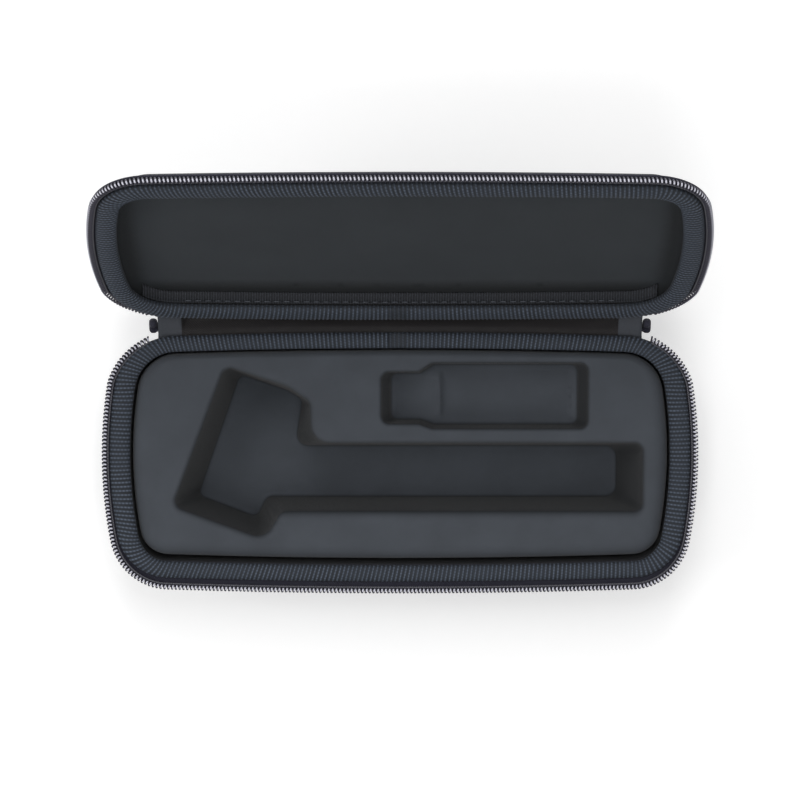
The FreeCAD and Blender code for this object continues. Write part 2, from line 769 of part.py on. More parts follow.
def slider():
    """Slider on the left tail: two plates, their flanges, the wedge and the crown."""
    x0 = -TAIL_OUTER_X + SLIDER_FOLD_GAP
    x1 = x0 + SLIDER_LENGTH
    channel_z = ROW_SPLIT / 2.0 + ROW_HEIGHT + SLIDER_CLEARANCE
    channel_y = ROW_WALL / 2.0 + SLIDER_CLEARANCE
    half_y = channel_y + SLIDER_PLATE
    half_z = channel_z + SLIDER_FLANGE
    body = box(x0, x1, -half_y, half_y, -half_z, half_z)
    body = body.makeFillet(SLIDER_CORNER, [e for e in body.Edges if runs_along(e, point(0, 1, 0))])
    rims = [e for e in body.Edges if abs(e.CenterOfMass.y) > half_y - SLIDER_EDGE / 2.0]
    body = body.makeChamfer(SLIDER_EDGE, rims)
    body = body.cut(box(-BEYOND, 0, -channel_y, channel_y, -channel_z, channel_z))
    body = body.cut(box(-BEYOND, 0, -SLIDER_SLOT / 2.0, SLIDER_SLOT / 2.0, -BEYOND, BEYOND))
    inner_y = half_y - SLIDER_EDGE
    waist = x0 + SLIDER_EDGE + DIAMOND_LENGTH / 2.0
    wedge = [
        point(x0 + SLIDER_EDGE, -inner_y, 0.0),
        point(waist, -inner_y, -DIAMOND_WIDTH / 2.0),
        point(x0 + SLIDER_EDGE + DIAMOND_LENGTH, -inner_y, 0.0),
        point(waist, -inner_y, DIAMOND_WIDTH / 2.0),
    ]
    diamond = Part.Face(Part.makePolygon(wedge + wedge[:1])).extrude(point(0, 2.0 * inner_y, 0))
    body = body.fuse(diamond)
    body.translate(point(0, TAIL_Y, TAIL_Z))
    return body.fuse(crown(TAIL_Y + half_y)).removeSplitter()


def puller_pivot():
    """Middle of the puller's cross bar at the left slider: x and y."""
    x = -TAIL_OUTER_X + SLIDER_FOLD_GAP + SLIDER_LENGTH / 2.0
    plate = TAIL_Y + ROW_WALL / 2.0 + SLIDER_CLEARANCE + SLIDER_PLATE
    return x, plate + PULLER_CLEARANCE + PULLER_WALL / 2.0


def crown(plate):
    """Arch on the slider's outer plate that holds the puller."""
    x, y = puller_pivot()
    top = y + PULLER_WALL / 2.0 + PULLER_CLEARANCE
    half = CROWN_LENGTH / 2.0
    side = CROWN_WIDTH / 2.0
    arch = box(x - half, x + half, plate - SLIDER_EDGE, top + CROWN_WALL, -side, side)
    uprights = [e for e in arch.Edges if runs_along(e, point(0, 0, 1)) and e.CenterOfMass.y > top]
    arch = arch.makeFillet(CROWN_ROUND, uprights)
    inside = half - CROWN_WALL
    arch = arch.cut(box(x - inside, x + inside, plate, top, -CROWN_WIDTH, CROWN_WIDTH))
    arch.translate(point(0, 0, TAIL_Z))
    return arch


def puller():
    """Flat puller on the left slider, lying inwards against the slider's plate."""
    x, y = puller_pivot()
    half = PULLER_WALL / 2.0
    wide = PULLER_WIDTH / 2.0
    narrow = PULLER_TIP / 2.0
    end = x + PULLER_LENGTH - narrow
    back = x - half
    plan = [
        Part.LineSegment(point(back, 0, wide), point(end, 0, narrow)),
        Part.Arc(point(end, 0, narrow), point(end + narrow, 0, 0), point(end, 0, -narrow)),
        Part.LineSegment(point(end, 0, -narrow), point(back, 0, -wide)),
        Part.LineSegment(point(back, 0, -wide), point(back, 0, wide)),
    ]
    outline = Part.Face(Part.Wire([edge.toShape() for edge in plan])).extrude(point(0, BEYOND, 0))
    arm = wide - PULLER_ARM
    blade = box(x, x + PULLER_LENGTH, y - half, y + half, -PULLER_WIDTH, PULLER_WIDTH)
    blade = blade.cut(box(x - half, x + PULLER_WINDOW, 0, BEYOND, -arm, arm))
    blade = blade.cut(Part.makeCylinder(PULLER_HOLE, BEYOND, point(end, 0, 0), point(0, 1, 0)))
    bar = Part.makeCylinder(half, 2.0 * PULLER_WIDTH, point(x, y, -PULLER_WIDTH))
    blade = blade.fuse(bar).common(outline).removeSplitter()
    blade.translate(point(0, 0, TAIL_Z))
    return blade


def nodes():
    """Every piece by name."""
    edge = BASE_EDGE_ROUND
    base_block = dish(SHELL_INSET, SHELL_HEIGHT, SHELL_HEIGHT, edge, edge, SHELL_STEPS)
    tail = zip_tail()
    made = {
        "base_shell": shell(SHELL_HEIGHT, edge, edge, BASE_COVERED_STEPS),
        "base_lining": base_lining(),
        "insert_tray": insert_tray(),
        "base_binding": binding(),
        "base_zip_tape": zip_tape(),
        "base_zip_coil": zip_coil(),
        "hinge_spine": hinge_spine(),
        "lid_shell": opened(shell(LID_DEPTH, LID_DOME_RUN, LID_DOME_DROP, COVERED_STEPS)),
        "lid_padding": opened(lid_padding()),
        "lid_lining": opened(lid_lining()),
        "lid_binding": opened(binding()),
        "lid_zip_tape": opened(zip_tape()),
        "lid_zip_coil": opened(zip_coil()),
        "lid_hinge_tape": opened(lid_hinge_tape()),
        "lid_hinge_stitches": opened(lid_hinge_stitches()),
    }
    pairs = {
        "zip_fold": zip_fold(),
        "zip_tail": tail,
        "zip_end_tab": zip_end_tab(tail, base_block),
        "slider": slider(),
        "puller": puller(),
    }
    for name, shape in pairs.items():
        made[name + "_left"] = shape
        made[name + "_right"] = mirrored(shape)
    return made


def main():
    os.makedirs("parts", exist_ok=True)
    for name, shape in nodes().items():
        shape.exportStep(os.path.join("parts", name + ".step"))
        print(name, len(shape.Solids), round(shape.Volume, 1), shape.isValid())


main()
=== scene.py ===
import json
import math

import bpy
import numpy as np
from mathutils import Matrix, Vector, noise
from mathutils.geometry import delaunay_2d_cdt


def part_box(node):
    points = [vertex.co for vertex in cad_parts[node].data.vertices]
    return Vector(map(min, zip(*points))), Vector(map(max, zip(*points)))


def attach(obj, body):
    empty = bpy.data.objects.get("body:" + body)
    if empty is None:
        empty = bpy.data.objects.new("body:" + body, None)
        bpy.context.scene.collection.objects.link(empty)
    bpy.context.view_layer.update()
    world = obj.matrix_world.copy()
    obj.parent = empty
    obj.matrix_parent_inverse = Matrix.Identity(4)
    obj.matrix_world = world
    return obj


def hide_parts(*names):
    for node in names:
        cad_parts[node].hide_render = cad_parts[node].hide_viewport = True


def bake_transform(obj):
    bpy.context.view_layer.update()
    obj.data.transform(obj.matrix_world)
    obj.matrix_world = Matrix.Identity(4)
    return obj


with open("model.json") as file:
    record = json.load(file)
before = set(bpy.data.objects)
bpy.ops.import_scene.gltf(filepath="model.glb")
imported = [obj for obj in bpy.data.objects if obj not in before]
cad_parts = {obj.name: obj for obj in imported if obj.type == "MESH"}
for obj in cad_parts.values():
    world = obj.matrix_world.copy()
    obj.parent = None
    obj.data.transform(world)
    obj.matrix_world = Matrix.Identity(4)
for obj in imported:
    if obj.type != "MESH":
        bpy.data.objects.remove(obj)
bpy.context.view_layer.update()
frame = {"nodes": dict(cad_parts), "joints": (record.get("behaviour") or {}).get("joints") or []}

bl_info = {
    "name": "Zip case dressing",
    "version": (1, 0, 0),
    "blender": (4, 5, 0),
    "location": "3D View > Sidebar > Zip case",
    "description": "Cloth, tapes, zip, tray and studio round the frame of a zip-round instrument case",
    "category": "Object",
}

# Lengths in the code are millimetres, and meshes are written in metres
MM = 0.001


def frame_box(node):
    """Lowest and highest corner of a frame node in millimetres."""
    low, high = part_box(node)
    return low / MM, high / MM


HINGE = next(joint for joint in frame["joints"] if joint["name"] == "lid_hinge")
BINDING_LOW, BINDING_HIGH = frame_box("base_binding")
SHELL_TOP = frame_box("base_shell")[1].z
TRAY_LOW, TRAY_HIGH = frame_box("insert_tray")

# Rim outline, the same on both halves
BINDING_START = 0.15
BINDING_END = 6.9
BINDING_SIDE = 0.6
RIM_LENGTH = BINDING_HIGH.x - BINDING_LOW.x + 2.0 * BINDING_START
RIM_DEPTH = BINDING_HIGH.y - BINDING_LOW.y + 2.0 * BINDING_START
LONG_SIDE_RADIUS = 2300.0
SHORT_SIDE_RADIUS = 150.0
CORNER_KNEE = 14.0
LEFT = -RIM_LENGTH / 2.0
RIGHT = RIM_LENGTH / 2.0
FRONT = -RIM_DEPTH / 2.0
REAR = RIM_DEPTH / 2.0

# Shells and linings
SHELL_INSET = 2.6
SHELL_WALL = 2.4
SHELL_DRAFT = math.radians(6.0)
BASE_EDGE_ROUND = 9.0
LID_DEPTH = 11.0
LID_DOME_RUN = 11.0
LID_DOME_DROP = 9.3
LINING_WALL = 0.6
LID_CAVITY = 4.6
LID_CAVITY_ROUND = 4.0
LID_CAVITY_RUN = 5.2
SEAM_INSET = SHELL_INSET + SHELL_WALL + LINING_WALL

# Zip tape and coil
TAPE_WALL = 0.7
COIL_RADIUS = 1.15
COIL_GAP = 1.0
COIL_SIDE_REACH = 1.4
COIL_FRONT_REACH = 2.2
COIL_REAR_REACH = 1.15
ZIP_END = RIGHT - 13.1

# Heights and places on the frame
TAPE_TOP = BINDING_LOW.z
CREST = BINDING_HIGH.z
HINGE_Y = HINGE["pos_m"][1] / MM
MEETING_Z = HINGE["pos_m"][2] / MM
OPEN_ANGLE = math.radians(HINGE["range_deg"][1])
COIL_DROOP = 1.2
COIL_Z = MEETING_Z - COIL_GAP / 2.0 - COIL_RADIUS - COIL_DROOP
COIL_FRONT_EASE = 0.5
LID_SINK = 2.2
LID_CLOTH_WALL = 0.8

# Fabric spine, ribbed tape and stitches on the hinge side
SPINE_HALF = RIGHT - 24.6
SPINE_WALL = 0.7
SPINE_SLACK = 3.2
SPINE_REACH = RIGHT - 16.3
TAB_START = SPINE_HALF + 0.6
TAB_SLACK = 0.4
HINGE_TAPE_HALF = RIGHT - 12.2
STITCH_ROW_HALF = RIGHT - 23.6
HINGE_TAPE_WALL = 0.5
HINGE_TAPE_TURN = math.radians(55.0)
STITCH_PITCH = 3.2
STITCH_LENGTH = 2.0
STITCH_RADIUS = 0.17
STITCH_DROP = 0.45

# Tray
TRAY_TOP = TRAY_HIGH.z
TRAY_INSET = 7.5
TRAY_WALL = 2.2
TRAY_FOOT = TRAY_TOP - 18.0
TRAY_ROLL_RUN = 5.0
TRAY_ROLL_REAR_RUN = 2.0
TRAY_ROLL_DROP = 5.0
LIP_RADIUS = 2.2
BOTTLE_LIP_RADIUS = 1.4
FLOOR_RADIUS = 2.0
TRAY_FLOOR = TRAY_LOW.z + TRAY_WALL
BOTTLE_FLOOR = TRAY_TOP - 9.5
BOTTLE_BED_DEPTH = 3.0
NECK_BED_DEPTH = 1.6

# Instrument recess: corners as x, y and plan radius, at the lip and on the floor
HANDLE_LIP_BACK = 3.8
HANDLE_LIP_FRONT = -18.5
HANDLE_LIP_END = RIGHT - 15.9
HANDLE_FLOOR_BACK = HANDLE_LIP_BACK - 2.6
HANDLE_FLOOR_FRONT = HANDLE_LIP_FRONT + 2.1
HANDLE_FLOOR_END = HANDLE_LIP_END - 6.8
INSTRUMENT_LIP = (
    (LEFT + 38.3, REAR - 12.95, 3.0),
    (LEFT + 21.0, FRONT + 25.25, 3.0),
    (LEFT + 51.0, FRONT + 14.25, 5.5),
    (LEFT + 56.3, HANDLE_LIP_FRONT, 4.0),
    (HANDLE_LIP_END, HANDLE_LIP_FRONT, 2.8),
    (HANDLE_LIP_END, HANDLE_LIP_BACK, 2.8),
    (LEFT + 66.3, HANDLE_LIP_BACK, 6.5),
    (LEFT + 65.8, REAR - 24.65, 3.0),
    (LEFT + 58.7, REAR - 19.65, 12.0),
)
INSTRUMENT_FLOOR = (
    (LEFT + 41.7, REAR - 16.75, 2.6),
    (LEFT + 27.4, FRONT + 26.15, 2.6),
    (LEFT + 47.6, FRONT + 18.45, 3.0),
    (LEFT + 51.0, HANDLE_FLOOR_FRONT, 3.0),
    (HANDLE_FLOOR_END, HANDLE_FLOOR_FRONT, 4.0),
    (HANDLE_FLOOR_END, HANDLE_FLOOR_BACK, 4.0),
    (LEFT + 60.7, HANDLE_FLOOR_BACK, 3.5),
    (LEFT + 63.0, REAR - 25.45, 2.6),
    (LEFT + 57.6, REAR - 22.15, 8.0),
)

# How wide the lip of each run of the instrument recess is, as a share of its radius
LIP_WIDTHS = (0.7, 1.1, 1.0, 1.9, 0.8, 0.6, 0.9, 0.7, 0.7)
EVEN_LIPS = (1.0,) * 8
CREASE_PLACE = (LEFT + 51.5, FRONT + 21.5)
CREASE_REACH = 4.5
CREASE_PITCH = 2.3
CREASE_DEPTH = 0.55

# Bottle recess with its narrower neck on the left
BOTTLE_BACK = REAR - 11.8
BOTTLE_FRONT = HANDLE_LIP_BACK + 5.0
BOTTLE_END = RIGHT - 34.0
BOTTLE_SHOULDER = BOTTLE_END - 51.0
NECK_BACK = BOTTLE_BACK - 2.9
NECK_FRONT = BOTTLE_FRONT + 1.6
NECK_END = BOTTLE_END - 67.6
BOTTLE_DRAFT_Y = 0.6
BOTTLE_DRAFT_X = 2.8
BOTTLE_CORNER = 2.6
SHOULDER_RUN = 4.4

# Closed tails of the zip behind the hinge corners
TAIL_Y = REAR - 1.1
TAIL_Z = SHELL_TOP - 5.8
TAIL_HALF_HEIGHT = 5.2
TAIL_OUTER_X = RIGHT - 15.2
TAIL_SPLIT_X = TAIL_OUTER_X - 13.4
TAIL_CLOSED_X = TAIL_SPLIT_X - 2.8
TAIL_INNER_X = TAIL_CLOSED_X - 6.2

# Photograph: scale on the rim plane, and the camera that gives it
IMAGE_SIDE = 800
PIXELS_PER_MM = 3.05
CAMERA_TILT = math.radians(4.5)
CAMERA_HEIGHT = 1028.0
CAMERA_BACK = 96.7
CAMERA_LENS = 137.25
CLOTH = "cloth"
TONE = "tone"


# Outlines


def corner_of(half_x, half_y, corner, long_radius, short_radius):
    """Round corner between two bowed sides: its centre and the two angles where it ends."""
    long_centre = Vector((0.0, half_y - long_radius))
    short_centre = Vector((half_x - short_radius, 0.0))
    to_long = long_radius - corner
    to_short = short_radius - corner
    apart = short_centre - long_centre
    distance = apart.length
    along = (distance**2 + to_long**2 - to_short**2) / (2.0 * distance)
    across = math.sqrt(to_long**2 - along**2)
    apart.normalize()
    centre = long_centre + apart * along + Vector((apart.y, -apart.x)) * across
    from_long = centre - long_centre
    from_short = centre - short_centre
    return centre, math.atan2(from_long.y, from_long.x), math.atan2(from_short.y, from_short.x)


def barrel(half_x, half_y, front_corner, rear_corner, long_radius, short_radius, centre_y):
    """Arcs round a bowed outline from the middle of its hinge side, leftwards first.

    Each is its centre's x and y, its radius, and its first and last angle.
    """
    rear, rear_long, rear_short = corner_of(half_x, half_y, rear_corner, long_radius, short_radius)
    front, front_long, front_short = corner_of(half_x, half_y, front_corner, long_radius, short_radius)
    long_y = half_y - long_radius
    short_x = half_x - short_radius
    half = math.pi
    turn = 2.0 * math.pi
    arcs = (
        (0.0, long_y, long_radius, half / 2.0, half - rear_long),
        (-rear.x, rear.y, rear_corner, half - rear_long, half - rear_short),
        (-short_x, 0.0, short_radius, half - rear_short, half + front_short),
        (-front.x, -front.y, front_corner, half + front_short, half + front_long),
        (0.0, -long_y, long_radius, half + front_long, turn - front_long),
        (front.x, -front.y, front_corner, turn - front_long, turn - front_short),
        (short_x, 0.0, short_radius, turn - front_short, turn + rear_short),
        (rear.x, rear.y, rear_corner, turn + rear_short, turn + rear_long),
        (0.0, long_y, long_radius, turn + rear_long, turn + half / 2.0),
    )
    return [(x, y + centre_y, radius, first, last) for x, y, radius, first, last in arcs]


def corner_at(radius, inset):
    """Corner radius of an inset outline: parallel at first, then slowly tighter."""
    if inset < CORNER_KNEE:
        return radius - inset
    kept = radius - CORNER_KNEE
    return kept * math.exp((CORNER_KNEE - inset) / kept)


def rim(inset, rearwards=0.0):
    """Arcs of the rim outline moved inwards, with its hinge side moved back."""
    sizes = bpy.context.scene.case_outline
    return barrel(
        RIM_LENGTH / 2.0 - inset,
        RIM_DEPTH / 2.0 - inset + rearwards / 2.0,
        corner_at(sizes.front_corner / MM, inset),
        corner_at(sizes.rear_corner / MM, inset),
        LONG_SIDE_RADIUS - inset,
        SHORT_SIDE_RADIUS - inset,
        rearwards / 2.0,
    )


def coil_line(inset):
    """Arcs of the line that the middle of the coil follows, moved inwards."""
    sizes = bpy.context.scene.case_outline
    return barrel(
        RIM_LENGTH / 2.0 + COIL_SIDE_REACH - inset,
        (RIM_DEPTH + COIL_FRONT_REACH + COIL_REAR_REACH) / 2.0 - inset,
        sizes.front_corner / MM + COIL_SIDE_REACH - inset,
        sizes.rear_corner / MM + COIL_SIDE_REACH - inset,
        LONG_SIDE_RADIUS - inset,
        SHORT_SIDE_RADIUS - inset,
        (COIL_REAR_REACH - COIL_FRONT_REACH) / 2.0,
    )


def rear_y(x, inset):
    """Y of the rim's hinge side, moved inwards, at one x."""
    sizes = bpy.context.scene.case_outline
    radius = corner_at(sizes.rear_corner / MM, inset)
    half_y = RIM_DEPTH / 2.0 - inset
    long_radius = LONG_SIDE_RADIUS - inset
    centre, on_long, _ = corner_of(
        RIM_LENGTH / 2.0 - inset, half_y, radius, long_radius, SHORT_SIDE_RADIUS - inset
    )
    if abs(x) < centre.x + radius * math.cos(on_long):
        return half_y - long_radius + math.sqrt(long_radius**2 - x**2)
    return centre.y + math.sqrt(radius**2 - (abs(x) - centre.x) ** 2)


def steps_round(arcs, side_step, corner_step):
    """How many steps each arc gets, from the lengths of one outline's arcs."""
    steps = []
    for k, (_, _, radius, first, last) in enumerate(arcs):
        step = corner_step if k % 2 else side_step
        steps.append(max(2, math.ceil(radius * (last - first) / step)))
    return steps


def round_points(arcs, steps):
    """Points round an outline as x, y and the angle that its edge faces."""
    points = []
    for (x, y, radius, first, last), count in zip(arcs, steps):
        for k in range(count):
            angle = first + (last - first) * k / count
            points.append((x + radius * math.cos(angle), y + radius * math.sin(angle), angle))
    return points


def lengths_along(points):
    """Length from the first point to each, and on to the first again."""
    totals = [0.0]
    for k, (x, y, *_) in enumerate(points):
        next_x, next_y = points[(k + 1) % len(points)][:2]
        totals.append(totals[-1] + math.hypot(next_x - x, next_y - y))
    return totals


def quarter_turns(steps):
    """Sine and cosine at even steps round a quarter turn."""
    turns = [math.pi / 2.0 * k / steps for k in range(steps + 1)]
    return [(math.sin(turn), math.cos(turn)) for turn in turns]


def dish_profile(inset, top, depth, run, drop, steps, wall_steps=4):
    """Inset and height down a drafted wall and round its lower edge."""
    straight = depth - drop
    slope = math.tan(SHELL_DRAFT)
    places = [
        (inset + straight * slope * k / wall_steps, top - straight * k / wall_steps)
        for k in range(wall_steps)
    ]
    foot = inset + straight * slope
    for sine, cosine in quarter_turns(steps):
        places.append((foot + run * (1.0 - cosine), top - straight - drop * sine))
    return places


def opened_matrix():
    """Takes a lid piece drawn mouth up on the base to its place on the open lid."""
    mirror = Matrix.Translation((0, 0, 2.0 * MEETING_Z)) @ Matrix.Scale(-1.0, 4, (0, 0, 1))
    hinge = Matrix.Translation((0, HINGE_Y, MEETING_Z))
    return hinge @ Matrix.Rotation(-OPEN_ANGLE, 4, "X") @ hinge.inverted() @ mirror


# Meshes


def within(points, polygon):
    """Which points lie inside a polygon, by the number of its edges to their right."""
    inside = np.zeros(len(points), bool)
    x, y = points[:, 0], points[:, 1]
    for (ax, ay), (bx, by) in zip(polygon, np.roll(polygon, -1, axis=0)):
        if ay == by:
            continue
        crosses = (ay > y) != (by > y)
        inside ^= crosses & (x < ax + (y - ay) * (bx - ax) / (by - ay))
    return inside


class Skin:
    """Places, faces and cloth coordinates of one piece, in millimetres."""

    def __init__(self):
        self.places = []
        self.faces = []
        self.cloth = []
        self.slots = []
        self.slot = 0
        self.tones = {}

    def add(self, places, tone=0.0):
        """Adds places that share a tone and gives their indices."""
        start = len(self.places)
        self.places += [tuple(place) for place in places]
        indices = list(range(start, len(self.places)))
        if tone:
            self.tones.update((k, tone) for k in indices)
        return indices

    def face(self, corners, cloth):
        self.faces.append(corners)
        self.cloth.append(cloth)
        self.slots.append(self.slot)

    def bridge(self, a, b, along, v0, v1, closed=True, shift_a=None, shift_b=None):
        """Joins two rows of the same length with four-sided faces."""
        count = len(a)
        shift_a = shift_a or [0.0] * count
        shift_b = shift_b or [0.0] * count
        for k in range(count if closed else count - 1):
            n = (k + 1) % count
            u0, u1 = along[k], along[k + 1]
            cloth = [(u0 + shift_a[k], v0), (u1 + shift_a[n], v0), (u1 + shift_b[n], v1), (u0 + shift_b[k], v1)]
            self.face([a[k], a[n], b[n], b[k]], cloth)

    def loft(self, rows, along, closed=True, round_section=False, shifts=None):
        """Joins rows one after the other, with the cloth's second coordinate across them."""
        across = 0.0
        order = list(rows) + ([rows[0]] if round_section else [])
        shifts = shifts or [None] * len(rows)
        moved = list(shifts) + ([shifts[0]] if round_section else [])
        middle = len(rows[0]) // 4
        for k, (a, b) in enumerate(zip(order, order[1:])):
            step = (Vector(self.places[a[middle]]) - Vector(self.places[b[middle]])).length
            self.bridge(a, b, along, across, across + step, closed, moved[k], moved[k + 1])
            across += step

    def cap(self, row):
        """Closes a row with one face."""
        self.face(list(row), [self.places[k][:2] for k in row])

    def fill(self, outer, holes, spacing, height, tone=None):
        """Fills a level area between rows, with places inside at an even spacing."""
        loops = [outer] + holes
        known = [k for loop in loops for k in loop]
        flat = np.array([self.places[k][:2] for k in known])
        edges = []
        start = 0
        for loop in loops:
            edges += [(start + k, start + (k + 1) % len(loop)) for k in range(len(loop))]
            start += len(loop)
        polygons = [np.array([self.places[k][:2] for k in loop]) for loop in loops]
        low, high = polygons[0].min(0), polygons[0].max(0)
        columns = np.arange(low[0] + spacing, high[0], spacing)
        lines = np.arange(low[1] + spacing, high[1], spacing * math.sqrt(0.75))
        grid = np.array([
            (x + spacing / 2.0 * (k % 2), y) for k, y in enumerate(lines) for x in columns
        ])
        keep = within(grid, polygons[0])
        for polygon in polygons[1:]:
            keep &= ~within(grid, polygon)
        grid = grid[keep]
        nearest = np.sqrt(((grid[:, None] - flat[None]) ** 2).sum(2)).min(1)
        grid = grid[nearest > spacing * 0.6]
        inside = self.add([(x, y, height(x, y)) for x, y in grid])
        if tone:
            self.tones.update((k, tone(x, y)) for k, (x, y) in zip(inside, grid))
        known += inside
        flat = np.concatenate([flat, grid])
        made = delaunay_2d_cdt([Vector(place) for place in flat], edges, [], 0, 1e-5)
        places, triangles, sources = made[0], made[2], made[3]
        middles = np.array([sum((places[k] for k in face), Vector((0, 0))) / 3.0 for face in triangles])
        keep = within(middles, polygons[0])
        for polygon in polygons[1:]:
            keep &= ~within(middles, polygon)
        for face, kept in zip(triangles, keep):
            if kept:
                corners = [known[sources[k][0]] for k in face]
                self.face(corners, [self.places[k][:2] for k in corners])

    def piece(self, name, place=None):
        """Makes the object, with every face turned outwards."""
        matrix = Matrix.Scale(MM, 4) @ (place or Matrix.Identity(4))
        mesh = bpy.data.meshes.new(name)
        mesh.from_pydata([matrix @ Vector(point) for point in self.places], [], self.faces)
        layer = mesh.uv_layers.new(name=CLOTH)
        flat = [value for face in self.cloth for corner in face for value in corner]
        layer.uv.foreach_set("vector", flat)
        # The tone coordinates carry each piece's painted shade mask
        if self.tones:
            layer = mesh.uv_layers.new(name=TONE)
            flat = [value for face in self.faces for k in face for value in (self.tones.get(k, 0.0), 0.0)]
            layer.uv.foreach_set("vector", flat)
        mesh.polygons.foreach_set("use_smooth", [True] * len(mesh.polygons))
        mesh.polygons.foreach_set("material_index", self.slots)
        mesh.update()
        made = bpy.data.objects.new(name, mesh)
        bpy.context.scene.collection.objects.link(made)
        turn_outwards(made)
        return made


def turn_outwards(made):
    """Turns every face of a closed piece outwards."""
    bpy.ops.object.select_all(action="DESELECT")
    bpy.context.view_layer.objects.active = made
    made.select_set(True)
    bpy.ops.object.mode_set(mode="EDIT")
    bpy.ops.mesh.select_all(action="SELECT")
    bpy.ops.mesh.normals_make_consistent(inside=False)
    bpy.ops.object.mode_set(mode="OBJECT")
    made.select_set(False)


def dressed(made, finishes, slot, body, *nodes):
    """Gives a piece its finishes, and puts it on its body in place of its nodes; its slot is not used."""
    for make in finishes if isinstance(finishes, tuple) else (finishes,):
        made.data.materials.append(kept(make))
    if nodes:
        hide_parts(*nodes)
    if body:
        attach(made, body)
    return made


# Finishes


def srgb(red, green, blue):
    """Linear colour from display values out of 255."""
    values = (red / 255.0, green / 255.0, blue / 255.0)
    return [v / 12.92 if v <= 0.04045 else ((v + 0.055) / 1.055) ** 2.4 for v in values]


class Finish:
    """A material under construction."""

    def __init__(self, name):
        self.material = bpy.data.materials.new(name)
        self.material.use_nodes = True
        self.tree = self.material.node_tree
        self.shader = self.tree.nodes["Principled BSDF"]

    def node(self, kind, inputs=(), **settings):
        """Adds a node; inputs are values or sockets, by index or name."""
        made = self.tree.nodes.new(kind)
        for key, value in settings.items():
            setattr(made, key, value)
        for key, value in dict(inputs).items():
            self.put(made.inputs[key], value)
        return made

    def put(self, socket, value):
        if isinstance(value, bpy.types.NodeSocket):
            self.tree.links.new(value, socket)
        else:
            socket.default_value = value

    def maths(self, operation, a, b=0.0):
        return self.node("ShaderNodeMath", {0: a, 1: b}, operation=operation).outputs[0]

    def cloth(self):
        """The cloth's two coordinates, in millimetres."""
        source = self.node("ShaderNodeUVMap", uv_map=CLOTH)
        parts = self.node("ShaderNodeSeparateXYZ", {0: source.outputs[0]})
        return source.outputs[0], parts.outputs[0], parts.outputs[1]

    def tone(self):
        """The tone coordinates, from 0 to 1, which say where each cloth gets painted shade."""
        source = self.node("ShaderNodeUVMap", uv_map=TONE)
        return self.node("ShaderNodeSeparateXYZ", {0: source.outputs[0]}).outputs[0]

    def place(self):
        """The place on the object at rest, in metres."""
        return self.node("ShaderNodeTexCoord").outputs["Object"]

    def wave(self, coordinate, pitch, turn=0.0):
        """A sine wave along one coordinate."""
        phase = self.maths("MULTIPLY", coordinate, 2.0 * math.pi / pitch)
        return self.maths("SINE", self.maths("ADD", phase, turn))

    def noise(self, vector, scale, detail=3.0, roughness=0.5):
        inputs = {"Vector": vector, "Scale": scale, "Detail": detail, "Roughness": roughness}
        return self.node("ShaderNodeTexNoise", inputs).outputs["Fac"]

    def spread(self, value, low, high, to_low=0.0, to_high=1.0):
        """Maps a range of a value onto another, and holds it there."""
        inputs = {0: value, 1: low, 2: high, 3: to_low, 4: to_high}
        return self.node("ShaderNodeMapRange", inputs).outputs[0]

    def mix(self, share, a, b):
        """Mixes two colours."""
        made = self.node("ShaderNodeMix", {"Factor": share}, data_type="RGBA")
        self.put(made.inputs[6], a if isinstance(a, bpy.types.NodeSocket) else (*a, 1.0))
        self.put(made.inputs[7], b if isinstance(b, bpy.types.NodeSocket) else (*b, 1.0))
        return made.outputs[2]

    def bump(self, height, distance, normal=None):
        """Bump whose height runs from 0 to 1 over a distance in millimetres."""
        inputs = {"Height": height, "Distance": distance * MM, "Strength": 1.0}
        if normal is not None:
            inputs["Normal"] = normal
        return self.node("ShaderNodeBump", inputs).outputs[0]

    def done(self, colour, normal, roughness, sheen=0.0, sheen_roughness=0.5, specular=0.3):
        self.put(self.shader.inputs["Base Color"], colour)
        self.put(self.shader.inputs["Normal"], normal)
        self.put(self.shader.inputs["Roughness"], roughness)
        self.shader.inputs["Sheen Weight"].default_value = sheen
        self.shader.inputs["Sheen Roughness"].default_value = sheen_roughness
        self.shader.inputs["Specular IOR Level"].default_value = specular
        return self.material


def shade(colour, share):
    """A colour made darker or lighter."""
    return [min(1.0, value * share) for value in colour]


def kept(make):
    """Makes each finish once."""
    name = make.__name__
    return bpy.data.materials.get(name) or make(name)


def tray_knit(name):
    """Smooth brushed knit drawn over moulded foam, with painted shade down the walls and lips of its recesses."""
    colour = list(bpy.context.scene.case_colours.tray)[:3]
    f = Finish(name)
    cloth, u, v = f.cloth()
    painted_shade = f.tone()
    mottle = f.noise(f.place(), 60.0, 4.0, 0.6)
    fuzz = f.noise(cloth, 2.2, 5.0, 0.7)
    knit = f.maths("MULTIPLY", f.wave(u, 0.42), f.wave(v, 0.36))
    tone = f.mix(f.spread(mottle, 0.35, 0.65), shade(colour, 0.9), shade(colour, 1.08))
    tone = f.mix(f.spread(fuzz, 0.3, 0.75, 0.0, 0.35), tone, shade(colour, 1.3))
    # Painted shade down the recess walls and lips
    tone = f.mix(painted_shade, tone, shade(colour, 0.2))
    height = f.maths("ADD", f.maths("MULTIPLY", knit, 0.5), fuzz)
    return f.done(tone, f.bump(height, 0.05), f.spread(fuzz, 0.2, 0.8, 0.72, 0.9), 0.1, 0.45, 0.2)


